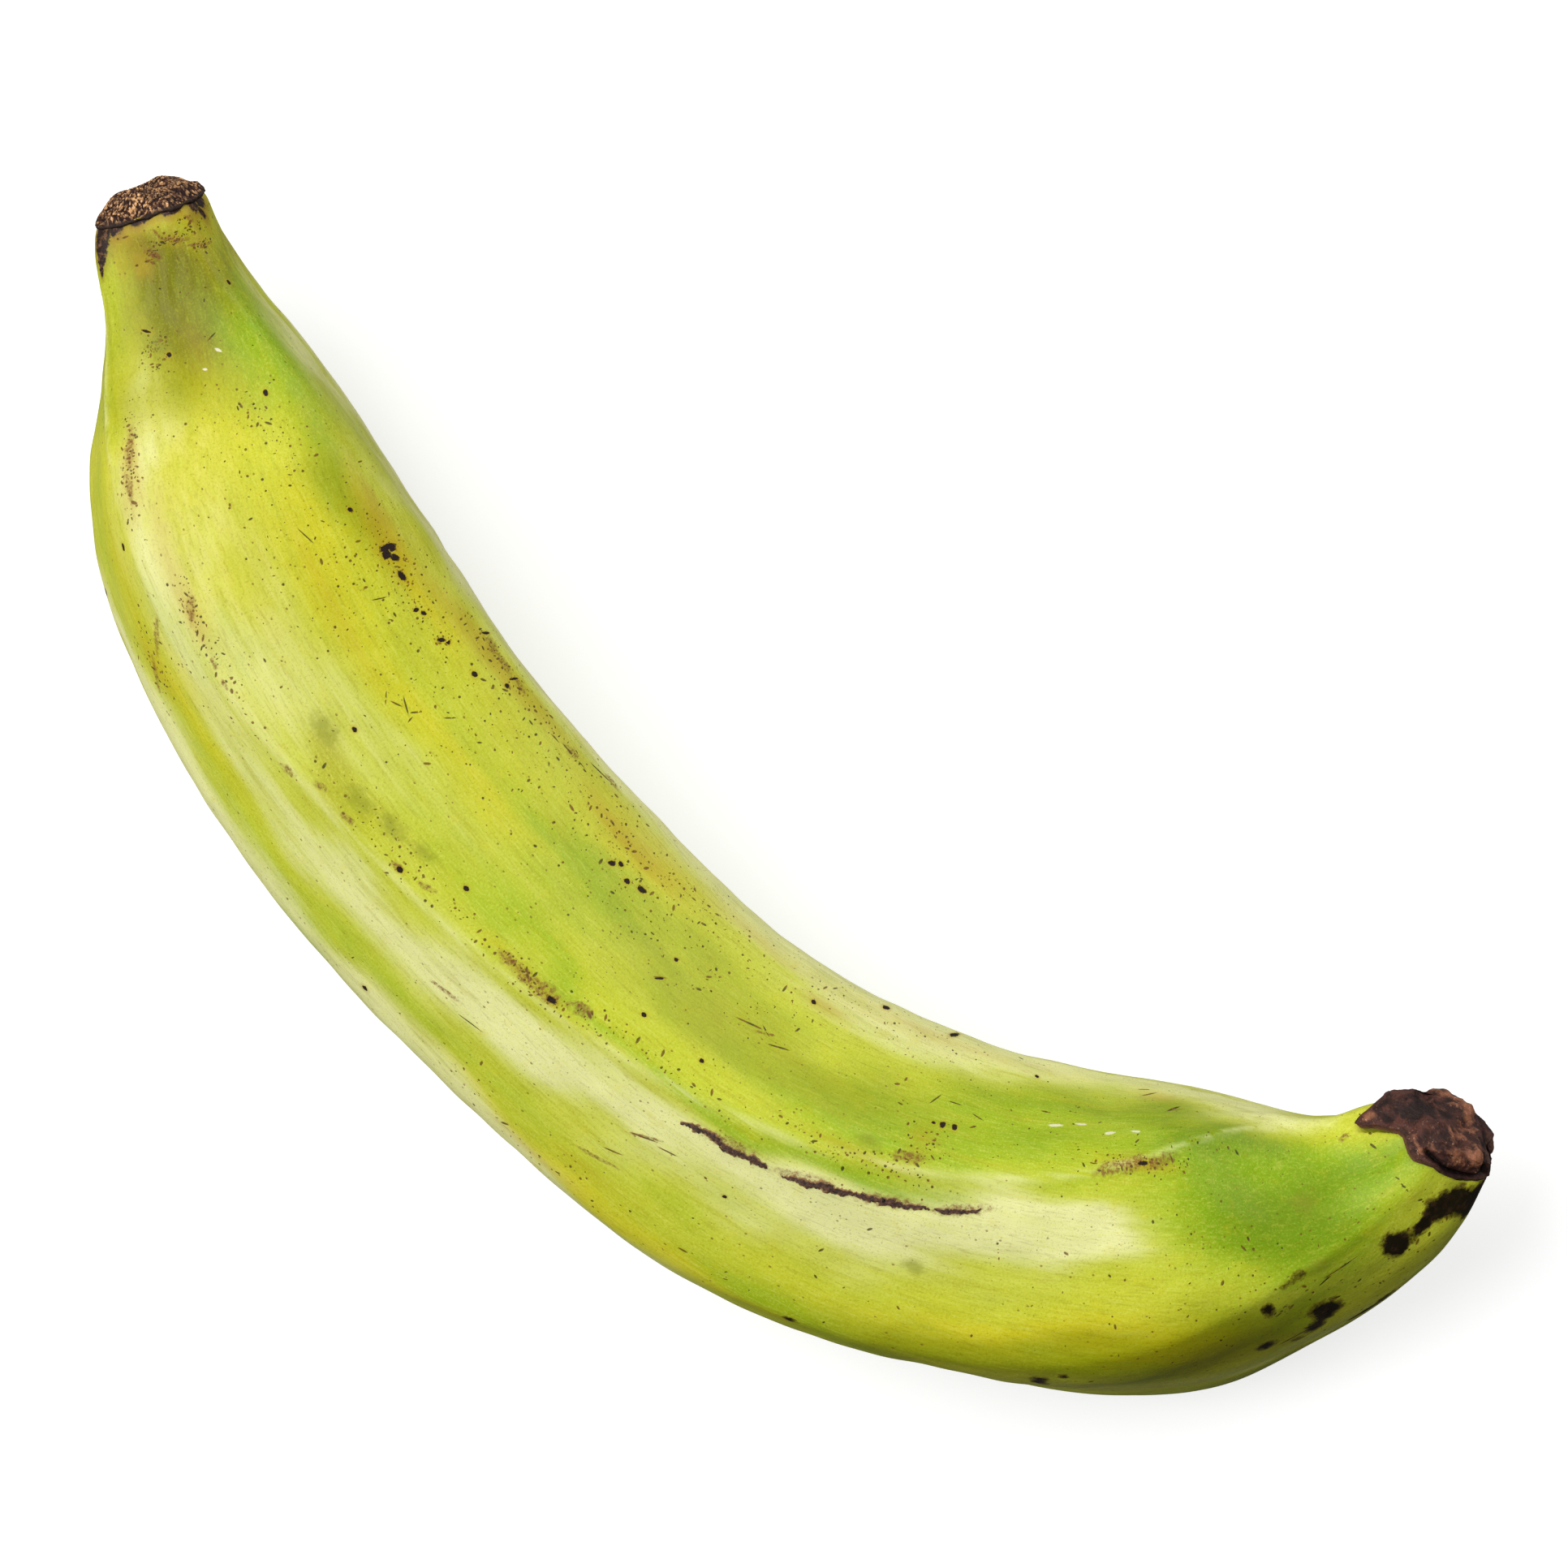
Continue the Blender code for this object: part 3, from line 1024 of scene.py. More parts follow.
def tube_faces(rings, sides, first_centre=None, last_centre=None):
    """Faces that join rings of points side by side, with a fan at each end that has a centre."""
    faces = []
    for ring in range(rings - 1):
        for i in range(sides):
            j = (i + 1) % sides
            faces.append((ring * sides + i, (ring + 1) * sides + i, (ring + 1) * sides + j, ring * sides + j))
    last = (rings - 1) * sides
    for i in range(sides):
        j = (i + 1) % sides
        if first_centre is not None:
            faces.append((first_centre, i, j))
        if last_centre is not None:
            faces.append((last_centre, last + j, last + i))
    return faces


def face_out(made):
    mesh = bmesh.new()
    mesh.from_mesh(made.data)
    bmesh.ops.recalc_face_normals(mesh, faces=mesh.faces)
    mesh.to_mesh(made.data)
    mesh.free()


def mark_places(corners, marks):
    """Where each face corner lies in the frame of the mark nearest to its face, in half sizes."""
    middle = corners.mean(axis=1)
    closest = np.full(len(corners), FAR)
    places = np.full(corners.shape, FAR)
    for mark in marks:
        place, long_way, wide_way, outward = surface_place(mark)
        depth = max(mark[2], mark[3]) * 1.5
        turn = np.array([long_way / mark[2], wide_way / mark[3], outward / depth])
        reach = 1.5 + 4 * max(mark[2], mark[3])
        near = np.abs(middle[:, 0] - place.x) < reach
        away = np.linalg.norm((middle[near] - place) @ turn.T, axis=1)
        rows = np.nonzero(near)[0][away < closest[near]]
        closest[rows] = away[away < closest[near]]
        places[rows] = (corners[rows] - np.array(place)) @ turn.T
    return places


def add_marks(made, flow, kinds):
    """Stores where every face corner lies from its nearest mark, one attribute for each kind of mark."""
    quads = np.array([f.vertices[:] for f in made.data.polygons if len(f.vertices) == 4])
    spare = len(made.data.loops) - quads.size
    for name, marks in kinds.items():
        places = mark_places(flow[quads], marks).reshape(-1, 3)
        every = np.vstack([places, np.full((spare, 3), FAR)])
        layer = made.data.attributes.new(name, "FLOAT_VECTOR", "CORNER")
        layer.data.foreach_set("vector", every.astype(np.float32).ravel())


def add_flat_map(made, sides):
    """A map of the peel for baking: the length runs one way and the turn round the fruit the other."""
    layer = made.data.uv_layers.new(name="OFBake")
    turn = made.data.attributes["turn_share"].data
    along = made.data.attributes["length_share"].data
    for polygon in made.data.polygons:
        corners = [made.data.loops[i].vertex_index for i in polygon.loop_indices]
        turns = [turn[v].value for v in corners]
        wraps = max(turns) - min(turns) > 0.5
        middle = [t + 1.0 if wraps and t < 0.5 else t for t in turns]
        fan = sum(middle) / len(middle)
        for i, v, t in zip(polygon.loop_indices, corners, middle):
            flat = fan if v >= made["ring_points"] else t
            layer.data[i].uv = (0.004 + 0.992 * along[v].value, 0.002 + 0.996 * flat * (1 - 1 / sides / 2))


END_CROWDING = 0.243  # how strongly the sections crowd together at both ends


def ring_shares():
    """Shares of the length for the peel's sections, closer together at both ends."""
    even = np.linspace(0, 1, PEEL_RINGS)
    return even - END_CROWDING * np.sin(2 * math.pi * even) / (2 * math.pi)


# Where the peel is more finely speckled.
SPECKLED = ((62, 42, 34, 22, 0.8), (120, 30, 40, 24, 0.5), (168, 6, 14, 14, 0.6), (84, -22, 16, 10, 0.4))
ZONES = {"yellow": YELLOW, "green": GREEN, "painted_sheen": PAINTED_SHEEN, "olive": OLIVE, "deep_and_shaded": DEEP_AND_SHADED}
MARKS = {"scab": SCABS, "streak": STREAKS, "scuff": SCUFFS, "bruise": BRUISES, "fleck": FLECKS}


def make_peel():
    shares = ring_shares()
    angles = np.linspace(0, 2 * math.pi, PEEL_SIDES, endpoint=False)
    across, up = sections(shares, angles)
    share = np.repeat(shares[:, None], PEEL_SIDES, 1)
    section_degrees = np.repeat(np.degrees(angles)[None, :], PEEL_RINGS, 0)
    flow = np.stack([share * LENGTH, across, up], -1)
    degrees = seen_degrees(share, across, up)
    height = relief(share, degrees, section_degrees, flow)
    distance = np.hypot(across, up)
    across = across * (1 + height / distance)
    up = up * (1 + height / distance)
    points = bent(share, across, up).reshape(-1, 3)
    start = points[:PEEL_SIDES].mean(axis=0)
    end = points[-PEEL_SIDES:].mean(axis=0)
    points = laid_down(np.vstack([points, start, end]))

    long_mm = share * LENGTH
    drawn_out = flow * (0.5, 1.0, 1.0)
    warped_mm = long_mm + 3.2 * waves(drawn_out, 24.0, 51) + 1.3 * waves(drawn_out, 8.0, 52)
    warped_degrees = degrees + 4.0 * waves(drawn_out, 22.0, 53) + 2.0 * waves(drawn_out, 7.0, 54)
    values = {key: patches(warped_mm, warped_degrees, spots) for key, spots in ZONES.items()}
    values |= {
        "tan": patches(long_mm, degrees, TAN),
        "blotch": patches(long_mm, degrees, BLOTCH),
        "speckled": 0.55 + patches(long_mm, degrees, SPECKLED),
        "crest_highlight": painted_crest_highlight(long_mm, share, section_degrees),
        "length_share": share,
        "turn_share": section_degrees / 360,
    }
    ends = np.array([[0.0, 0.0, 0.0], [LENGTH, 0.0, 0.0]])
    layers = {}
    for key, field in values.items():
        layers[key] = np.append(field.ravel(), [field[0].mean(), field[-1].mean()])
    layers["length_share"][-2:] = (-0.003, 1.003)
    layers["flow"] = np.vstack([flow.reshape(-1, 3), ends])
    count = PEEL_RINGS * PEEL_SIDES
    faces = tube_faces(PEEL_RINGS, PEEL_SIDES, count, count + 1)
    made = make_object("peel", points, faces, peel_material(), layers)
    add_marks(made, layers["flow"], {**MARKS, "speck": stray_specks()})
    made["ring_points"] = count
    add_flat_map(made, PEEL_SIDES)
    face_out(made)
    return made


# ------------------------------------------------------------------ stem cut

CUT_RINGS = 76
CUT_SIDES = 380
CUT_GRAINS = 3400
CUT_CROWN = 1.7  # mm, how far the middle of the cut stands out
CUT_OVERLAP = 0.55  # mm, how far the dried edge laps over the peel
CUT_LAP = ((0.08, 0.04), (0.24, 0.03), (0.50, -0.04), (1.0, -0.50))  # share of the overlap, mm above the peel
GRAIN_SPREAD = 8.4  # mm, radius of the disc of grains
GRAIN_SIZES = (0.13, 0.25)  # mm, smallest and largest radius of a grain
GRAIN_SEED = 21


def stem_cut_material():
    g = Graph("stem_cut_fibre")
    flow = g.vector("flow")
    grain = g.value("grain")
    tint = g.value("tint")
    rough = g.noise(flow, 2.4, 3.0, 0.65)
    # Partly the beads' own tan colour, partly painted highlight: each bead is painted pale towards its raised
    # top and dark round its sides.
    lit = g.step(grain, 0.35, 0.85)
    veins = g.noise(g.stretched(flow, (0.5, 0.5, 0.5)), 1.0, 2.0, 0.6)
    under = g.blend(g.step(rough, 0.35, 0.65), colour(14, 6, 5), colour(50, 21, 15))
    bead = g.blend(tint, colour(98, 48, 30), colour(244, 190, 130))
    fresh = g.product(g.step(tint, 0.02, 0.5, 0.16, 1.0), g.step(veins, 0.34, 0.62, 0.30, 1.0))
    skin = g.blend(g.product(lit, fresh), under, bead)
    rim_dark = g.step(g.total(g.value("rim"), g.swing(rough, 0.9)), 0.55, 0.95)
    skin = g.blend(g.product(rim_dark, 0.85), skin, colour(40, 26, 20))
    fine = g.bump(g.noise(flow, 5.0, 2.0, 0.6), 0.00012)
    g.cover(skin, g.step(rough, 0.3, 0.7, 0.42, 0.68), fine, 0.22)
    return g.material


def grain_field(flat):
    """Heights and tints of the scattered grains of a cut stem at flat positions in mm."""
    random = np.random.default_rng(GRAIN_SEED)
    radius = np.sqrt(random.uniform(0, 1, CUT_GRAINS)) * GRAIN_SPREAD
    turn = random.uniform(0, 2 * math.pi, CUT_GRAINS)
    seeds = np.stack([radius * np.cos(turn), radius * np.sin(turn)], 1)
    sizes = random.uniform(*GRAIN_SIZES, CUT_GRAINS)
    tints = random.uniform(0, 1, CUT_GRAINS) ** 2.0
    tree = KDTree(CUT_GRAINS)
    for i, (x, y) in enumerate(seeds):
        tree.insert((x, y, 0.0), i)
    tree.balance()
    heights = np.zeros(len(flat))
    shades = np.zeros(len(flat))
    for k, (x, y) in enumerate(flat):
        for _, i, away in tree.find_n((x, y, 0.0), 3):
            lift = max(0.0, 1 - (away / sizes[i]) ** 2) ** 0.5
            if lift > heights[k]:
                heights[k] = lift
                shades[k] = tints[i]
    return heights, shades


def make_stem_cut():
    angles = np.linspace(0, 2 * math.pi, CUT_SIDES, endpoint=False)
    across, up = (row[0] for row in sections(np.array([0.0]), angles))
    out_of_cut = -directions(np.array([0.0]))[0][0]
    radii = np.sin(np.linspace(0, 1, CUT_RINGS + 1)[1:] * math.pi / 2)
    points, flats, rims = [], [], []
    for radius in radii:
        x, y = across * radius, up * radius
        base = bent(np.zeros(CUT_SIDES), x, y)
        crown = CUT_CROWN * (1 - radius**3)
        points.append(base + out_of_cut * crown)
        flats.append(np.stack([x, y], 1))
        rims.append(np.full(CUT_SIDES, smoothstep(0.90, 1.0, radius)))
    points = np.vstack(points)
    flats = np.vstack(flats)
    grain, tint = grain_field(flats)
    rim = np.concatenate(rims)
    swell = waves(np.column_stack([flats, np.zeros(len(flats))]), 5.0, 31)
    lift = 0.30 * grain * (1 - 0.4 * rim) + 0.34 * swell * (1 - rim)
    points += out_of_cut * lift[:, None]

    lap_rings = []
    outline = np.column_stack([across, up, np.zeros(CUT_SIDES)])
    uneven = np.clip(1 + 0.35 * waves(outline, 3.0, 33), 0.55, 1.6)
    for reach, proud in CUT_LAP:
        share = np.maximum(0.0, reach * CUT_OVERLAP * uneven) / LENGTH
        edge = 1 + (proud + 0.05 * waves(outline, 1.1, 34)) / 8.0
        lap_rings.append(bent(share, across * edge, up * edge))
    lap = np.vstack(lap_rings)
    centre = bent(np.zeros(1), np.zeros(1), np.zeros(1)) + out_of_cut * (CUT_CROWN + 0.2)
    everything = np.vstack([points, lap, centre])
    extra = len(lap) + 1
    values = {
        "grain": np.append(grain, np.zeros(extra)),
        "tint": np.append(tint, np.zeros(extra)),
        "rim": np.append(rim, np.ones(extra)),
        "flow": everything.copy(),
    }
    values["rim"][-1] = 0.0
    rings = CUT_RINGS + len(CUT_LAP)
    faces = tube_faces(rings, CUT_SIDES, rings * CUT_SIDES)
    made = make_object("stem_cut", laid_down(everything), faces, stem_cut_material(), values)
    face_out(made)
    return made


# ------------------------------------------------------------------ blossom end

END_RINGS = 140
END_SIDES = 320
END_DOME = 0.6  # mm, how far the dried end bulges past the spine's end

# Lumps and pits on the dried end: mm from the box's middle along X and Y, radius in mm, and height in mm.
END_LUMPS = (
    (107.3, 37.4, 1.4, 1.3),
    (102.6, 36.2, 0.40, 0.8),
    (110.7, 35.2, 1.3, 0.9),
    (108.2, 35.4, 0.8, -0.9),
    (108.0, 33.6, 0.6, -0.5),
    (109.1, 33.0, 0.7, -0.7),
    (110.2, 32.3, 0.6, -0.5),
    (111.6, 33.2, 1.2, 0.6),
    (105.0, 34.0, 1.5, 0.4),
    (101.0, 33.4, 1.4, 0.3),
    (97.4, 31.6, 1.9, 0.5),
    (98.5, 29.5, 1.1, 0.3),
    (98.3, 33.4, 1.8, 0.7),
    (101.8, 37.2, 2.4, -1.4),
    (113.2, 37.2, 2.4, -1.7),
    (116.0, 34.6, 2.0, -1.5),
)
# The groove under the dried flower's stump, in mm from the box's middle along X and Y.
END_GROOVE = (
    (105.8, 29.8),
    (107.5, 29.4),
    (109.7, 29.3),
    (111.7, 30.0),
    (113.4, 30.8),
    (113.8, 31.8),
    (113.0, 33.6),
)
GROOVE_DEPTH = 1.0  # mm
GROOVE_WIDTH = 0.45  # mm


def blossom_material():
    g = Graph("blossom_end_dry")
    flow = g.vector("flow")
    raised = g.value("raised")
    leather = g.noise(flow, 0.55, 4.0, 0.62, 0.6)
    fine = g.noise(flow, 2.4, 3.0, 0.65)
    wrinkles = g.noise(g.stretched(flow, (0.7, 1.6, 1.6)), 1.0, 4.0, 0.7, 1.0)
    skin = g.blend(g.step(leather, 0.35, 0.65), colour(44, 24, 20), colour(84, 48, 38))
    # Painted highlight: the raised folds and lumps are painted a lighter copper brown.
    lit = g.step(g.total(raised, g.product(wrinkles, 0.5)), 0.45, 0.90, 0.0, 0.80)
    skin = g.blend(lit, skin, colour(160, 104, 74))
    pale = g.product(g.step(fine, 0.60, 0.72), g.step(raised, 0.0, 0.4, 0.2, 0.8))
    skin = g.blend(pale, skin, colour(206, 158, 124))
    # Painted shade: the pits between the folds are painted near black.
    skin = g.blend(g.step(raised, -0.15, -0.55, 0.0, 0.80), skin, colour(22, 10, 8))
    skin = g.blend(g.step(g.value("edge"), 0.4, 1.0, 0.0, 0.55), skin, colour(112, 74, 56))
    lip_skin = g.blend(g.step(leather, 0.40, 0.62), colour(36, 20, 18), colour(86, 58, 48))
    skin = g.blend(g.value("lip"), skin, lip_skin)
    # Painted shade: the groove under the dried flower's stump is painted near black.
    skin = g.blend(g.value("groove"), skin, colour(12, 7, 8))
    wrinkled = g.bump(g.total(g.product(wrinkles, 0.7), g.product(fine, 0.3)), 0.0004)
    g.cover(skin, g.step(fine, 0.3, 0.7, 0.40, 0.62), wrinkled, 0.22)
    return g.material


def end_grid():
    """Places over the smooth dried end and distances from its edge in mm, its middle and direction."""
    angles = np.linspace(0, 2 * math.pi, END_SIDES, endpoint=False)
    last_across, last_up = (row[0] for row in sections(np.array([1.0]), angles))
    seen = seen_degrees(np.ones(END_SIDES), last_across, last_up)
    edge = np.interp(seen, END_EDGE[:, 0], END_EDGE[:, 1])
    along = directions(np.array([1.0]))[0][0]
    centre = spine_point(np.array([1.0]))[0]
    rows, depths = [], []
    skirt = np.linspace(0, 1, END_RINGS // 2)
    for t in skirt:
        at = edge + (LENGTH - edge) * t
        share = at / LENGTH
        across, up = sections(share, angles)
        picked = np.arange(END_SIDES)
        ring = bent(share, across[picked, picked], up[picked, picked])
        rows.append(ring)
        depths.append(at - edge)
    rim = rows[-1]
    dome = END_RINGS - END_RINGS // 2 + 1
    for i in range(1, dome):
        turn = math.pi / 2 * i / dome
        spread = (rim - centre) * math.cos(turn) ** 0.8
        rows.append(centre + spread + along * END_DOME * math.sin(turn))
        depths.append(LENGTH - edge + 8 * math.sin(turn))
    return np.array(rows), np.array(depths), centre, along


def ridged(points, scale, octaves=5):
    """Creased noise at each point."""
    creased = solid_noise.ridged_multi_fractal
    return np.array([creased(Vector(p) * scale, 0.9, 2.1, octaves, 1.0, 2.0) for p in points])


def standard(values):
    return (values - values.mean()) / values.std()


def groove_field(places):
    """How near each place is to the groove, from 0 to 1, and whether it lies beyond it, on the lower lip."""
    line = np.array(END_GROOVE)
    away = np.full(places.shape[:-1], FAR)
    beyond = np.zeros(places.shape[:-1])
    for start, end in zip(line, line[1:]):
        run = end - start
        along_run = np.clip(((places - start) @ run) / (run @ run), 0.0, 1.0)
        gap = places - start - along_run[..., None] * run
        distance = np.linalg.norm(gap, axis=-1)
        nearer = distance < away
        away = np.where(nearer, distance, away)
        beyond = np.where(nearer, gap[..., 0] * run[1] - gap[..., 1] * run[0], beyond)
    lip = smoothstep(0.2, 0.9, np.where(beyond > 0, away, 0.0))
    lip = lip * smoothstep(line[0, 0], line[1, 0], places[..., 0])
    return np.exp(-((away / GROOVE_WIDTH) ** 2)), lip


def make_blossom_end():
    grid, depth, centre, along = end_grid()
    rings = len(grid)
    around = np.roll(grid, -1, 1) - np.roll(grid, 1, 1)
    onward = np.gradient(grid, axis=0)
    normal = unit(np.cross(around, onward) + 1e-9)
    if (normal[2, :, :] * (grid[2] - grid[2].mean(axis=0))).sum() < 0:
        normal = -normal
    flat = grid.reshape(-1, 3)
    folds = standard(ridged(flat, 0.16).reshape(depth.shape))
    crinkles = standard(ridged(flat + 31.0, 0.45, 3).reshape(depth.shape))
    away = smoothstep(0.2, 3.0, depth)
    height = 0.16 * folds * away + 0.06 * crinkles * smoothstep(0.0, 1.2, depth)
    lumps = np.zeros_like(depth)
    placed = grid + RESTING
    facing_up = smoothstep(-6.0, -3.0, grid[..., 2] - centre[2])
    for x, y, radius, tall in END_LUMPS:
        near = np.exp(-(((placed[..., 0] - x) / radius) ** 2 + ((placed[..., 1] - y) / radius) ** 2))
        lumps += tall * near * facing_up
    groove, lip_share = groove_field(placed[..., :2])
    groove = groove * facing_up * smoothstep(0.1, 1.2, depth)
    lip_share = lip_share * facing_up
    lip = -0.30 + 0.62 * smoothstep(0.0, 0.7, depth)
    points = grid + normal * (height + lumps + lip - GROOVE_DEPTH * groove)[..., None]
    tip = centre + along * (END_DOME + 0.3)
    everything = np.vstack([points.reshape(-1, 3), tip])
    raised = (0.30 * folds * away + 0.10 * crinkles + 0.35 * lumps).ravel() + 0.1
    values = {
        "raised": np.append(raised, 0.2),
        "edge": np.append((1 - smoothstep(0.0, 1.0, depth)).ravel(), 0.0),
        "groove": np.append(groove.ravel(), 0.0),
        "lip": np.append(lip_share.ravel(), 0.0),
        "flow": everything.copy(),
    }
    faces = tube_faces(rings, END_SIDES, None, rings * END_SIDES)
    made = make_object("blossom_end", laid_down(everything), faces, blossom_material(), values)
    face_out(made)
    return made


# ------------------------------------------------------------------ corky crack

# Stretches of the crack: each a line of (mm from the cut, degrees, half width in mm).
CRACKS = (
    ((145.7, -13.5, 0.12), (147.2, -12, 0.35), (149.5, -11.5, 0.5), (152.3, -11.5, 0.45), (154, -12, 0.1)),
    ((151.5, -12.6, 0.1), (153.8, -12, 0.42), (156, -11, 0.5), (158.2, -11.2, 0.12)),
    ((160.4, -10.5, 0.1), (163, -9.5, 0.4), (165.3, -8.2, 0.5), (168, -7, 0.45), (170, -6.2, 0.15)),
    ((169, -6.5, 0.1), (172, -5, 0.35), (175, -4, 0.45), (178, -3, 0.3), (180, -2.2, 0.1)),
    ((180.6, -2.2, 0.08), (182, -1.6, 0.28), (184.2, -0.2, 0.3), (186.8, 2.2, 0.08)),
)
CRACK_WIDENING = 1.25  # the half widths above are drawn this much wider
CRACK_STEP = 0.22  # mm between the crack's sections
CRACK_SIDES = 14
CRACK_WANDER = 1.6  # degrees, how far the crack wanders from its line
CRACK_SEED = 40


def crack_material():
    g = Graph("crack_cork")
    flow = g.vector("flow")
    rough = g.noise(flow, 1.8, 4.0, 0.7)
    crust = g.blend(g.step(rough, 0.35, 0.65), colour(40, 25, 20), colour(98, 64, 48))
    skin = g.blend(g.step(g.value("side"), 0.55, 1.0, 0.0, 0.85), crust, colour(176, 136, 84))
    g.cover(skin, 0.7, g.bump(g.noise(flow, 3.5, 3.0, 0.7), 0.0002))
    return g.material


def on_peel(distance, degrees):
    """The bent position and outward direction on the peel's upper side, in mm."""
    place, _, _, outward = surface_place((distance, degrees, 0, 0, 0))
    share = np.array([distance / LENGTH])
    flow = np.array([[distance, place.y, place.z]])
    section_degrees = np.degrees(np.arctan2(place.y, place.z))
    lift = relief(share, np.array([degrees]), np.array([section_degrees]), flow)[0]
    base = np.array(place) + np.array(outward) * lift
    further = base + np.array(outward)
    here = bent(share, base[1:2], base[2:3])[0]
    there = bent(share, further[1:2], further[2:3])[0]
    return here, unit(there - here)


def crack_strip(line, seed):
    line = np.array(line)
    count = int((line[-1, 0] - line[0, 0]) / CRACK_STEP)
    at = np.linspace(line[0, 0], line[-1, 0], count)
    turns = np.interp(at, line[:, 0], line[:, 1])
    halves = CRACK_WIDENING * np.interp(at, line[:, 0], line[:, 2])
    random = np.random.default_rng(seed)
    jitter = np.convolve(random.normal(size=count + 8), np.ones(9) / 9, "valid")
    spots = [on_peel(d, t + CRACK_WANDER * j) for d, t, j in zip(at, turns, jitter)]
    centres = np.array([spot[0] for spot in spots])
    outward = np.array([spot[1] for spot in spots])
    onward = unit(np.gradient(centres, axis=0))
    sideways = unit(np.cross(outward, onward))
    ragged = 1 + 0.35 * np.convolve(random.normal(size=count + 2), np.ones(3) / 3, "valid")
    rings, sides = [], []
    for i in range(count):
        half = halves[i] * max(0.35, ragged[i])
        turn = np.linspace(0, 2 * math.pi, CRACK_SIDES, endpoint=False)
        bumpy = 1 + 0.22 * random.normal(size=CRACK_SIDES)
        side = np.cos(turn) * half * bumpy
        tall = np.sin(turn) * (0.10 + 0.35 * half) * bumpy
        tall -= 0.25 * half * np.exp(-((side / half * 2.2) ** 2)) * (np.sin(turn) > 0)
        rings.append(centres[i] + side[:, None] * sideways[i] + (tall[:, None] + 0.02) * outward[i])
        sides.append(np.abs(np.cos(turn)))
    return np.vstack(rings), np.concatenate(sides), count


def make_crack():
    points, sides, faces = [], [], []
    start = 0
    for seed, line in enumerate(CRACKS):
        strip, side, count = crack_strip(line, CRACK_SEED + seed)
        ends = np.array([strip[:CRACK_SIDES].mean(axis=0), strip[-CRACK_SIDES:].mean(axis=0)])
        points.append(np.vstack([strip, ends]))
        sides.append(np.append(side, [0.5, 0.5]))
        size = count * CRACK_SIDES
        strip_faces = tube_faces(count, CRACK_SIDES, size, size + 1)
        faces += [tuple(v + start for v in face) for face in strip_faces]
        start += size + 2
    everything = np.vstack(points)
    values = {"side": np.concatenate(sides), "flow": everything.copy()}
    made = make_object("crack_scar", laid_down(everything), faces, crack_material(), values)
    face_out(made)
    return made


# ------------------------------------------------------------------ floor, light and camera

VIEW_ROLL = math.radians(35.1)  # the camera looks straight down and is turned by this much
VIEW_CENTRE = (5.9, 20.45)  # mm from the box's middle along X and Y, the point at the middle of the view
VIEW_WIDTH = 213.7  # mm across the view at the fruit's outline
VIEW_DISTANCE = 3000.0  # mm from the fruit's outline to the camera
SENSOR = 36.0  # mm


def image_direction(turn, height):
    """A world direction: degrees anticlockwise from the view's right, and degrees above the floor."""
    around = math.radians(turn) + VIEW_ROLL
    tilt = math.radians(height)
    return Vector((math.cos(around) * math.cos(tilt), math.sin(around) * math.cos(tilt), math.sin(tilt)))


def box_middle():
    low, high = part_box(NODE)
    return (Vector(low) + Vector(high)) / 2


def add_camera():
    middle = box_middle()
    data = bpy.data.cameras.new("camera")
    data.sensor_width = SENSOR
    data.lens = SENSOR * VIEW_DISTANCE / VIEW_WIDTH
    made = bpy.data.objects.new("camera", data)
    x, y = (middle[k] + VIEW_CENTRE[k] * MM for k in (0, 1))
    made.location = (x, y, middle.z + VIEW_DISTANCE * MM)
    made.rotation_euler = (0.0, 0.0, VIEW_ROLL)
    bpy.context.scene.collection.objects.link(made)
    bpy.context.scene.camera = made


SUNS = (
    # name, turn and height in degrees, strength, apparent size in degrees
    ("key_light", 160.0, 52.0, 2.45, 50.0),
    ("far_side_light", 42.0, 24.0, 1.35, 50.0),
    ("near_side_light", 203.0, 22.0, 0.75, 50.0),
)


def add_lights():
    for name, turn, height, strength, size in SUNS:
        data = bpy.data.lights.new(name, "SUN")
        data.energy = strength
        data.angle = math.radians(size)
        made = bpy.data.objects.new(name, data)
        made.rotation_euler = image_direction(turn, height).to_track_quat("Z", "Y").to_euler()
        bpy.context.scene.collection.objects.link(made)


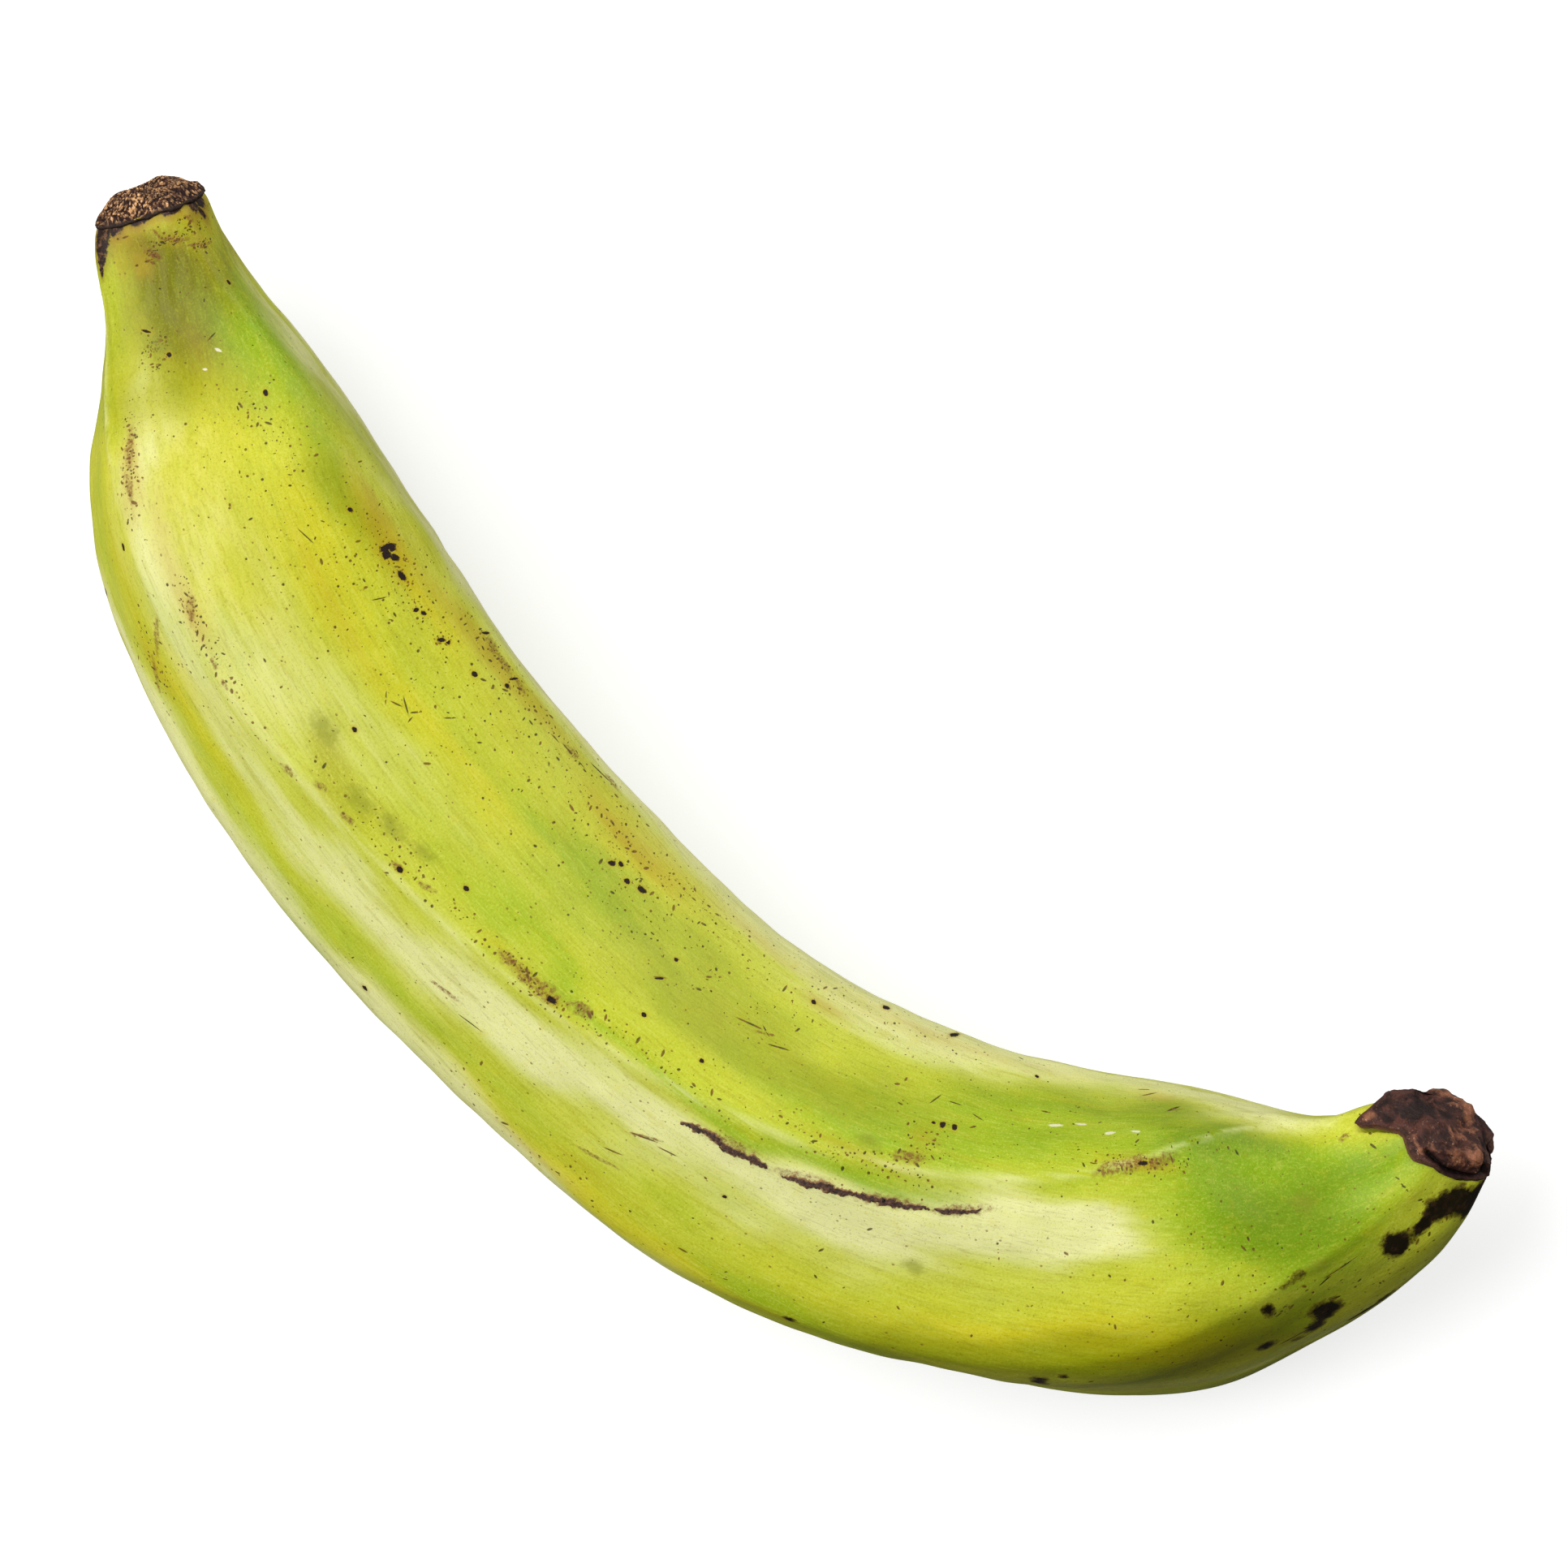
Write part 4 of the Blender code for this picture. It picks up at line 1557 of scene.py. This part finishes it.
GLOW_SIDE = (115.0, 15.0)  # turn and height in degrees of the brightest part of the surroundings
GLOW = {"From Min": -0.7, "From Max": 0.7, "To Min": 0.06, "To Max": 0.42}
WHITE = (1.0, 1.0, 1.0, 1.0)
FLOOR_HALF = 4.0  # metres
FLOOR_GREY = (0.55, 0.55, 0.55, 1.0)
FLOOR_GLOW = 0.62


def add_world():
    """White behind everything; the light it gives is brighter from the view's upper left."""
    world = bpy.data.worlds.new("studio")
    world.use_nodes = True
    tree = world.node_tree
    background = tree.nodes["Background"]
    where = tree.nodes.new("ShaderNodeTexCoord")
    facing = tree.nodes.new("ShaderNodeVectorMath")
    facing.operation = "DOT_PRODUCT"
    facing.inputs[1].default_value = image_direction(*GLOW_SIDE)
    tree.links.new(where.outputs["Generated"], facing.inputs[0])
    glow = tree.nodes.new("ShaderNodeMapRange")
    glow.interpolation_type = "SMOOTHSTEP"
    for key, value in GLOW.items():
        glow.inputs[key].default_value = value
    tree.links.new(facing.outputs["Value"], glow.inputs["Value"])
    rays = tree.nodes.new("ShaderNodeLightPath")
    seen = tree.nodes.new("ShaderNodeMix")
    tree.links.new(rays.outputs["Is Camera Ray"], seen.inputs[0])
    tree.links.new(glow.outputs["Result"], seen.inputs[2])
    seen.inputs[3].default_value = 1.0
    tree.links.new(seen.outputs[0], background.inputs["Strength"])
    background.inputs["Color"].default_value = WHITE
    bpy.context.scene.world = world


def add_floor():
    data = bpy.data.meshes.new("floor")
    turns = ((-1, -1), (1, -1), (1, 1), (-1, 1))
    corners = [(x * FLOOR_HALF, y * FLOOR_HALF, 0.0) for x, y in turns]
    data.from_pydata(corners, [], [(0, 1, 2, 3)])
    g = Graph("floor_pale")
    looks = {"Base Color": FLOOR_GREY, "Roughness": 0.9, "Specular IOR Level": 0.0}
    looks |= {"Emission Color": WHITE, "Emission Strength": FLOOR_GLOW}
    for key, value in looks.items():
        g.put(g.surface.inputs[key], value)
    data.materials.append(g.material)
    made = bpy.data.objects.new("floor", data)
    made.visible_diffuse = False
    made.visible_glossy = False
    bpy.context.scene.collection.objects.link(made)


make_peel()
make_stem_cut()
make_blossom_end()
make_crack()
add_camera()
add_lights()
add_world()
add_floor()
bpy.context.scene.view_settings.view_transform = "Standard"
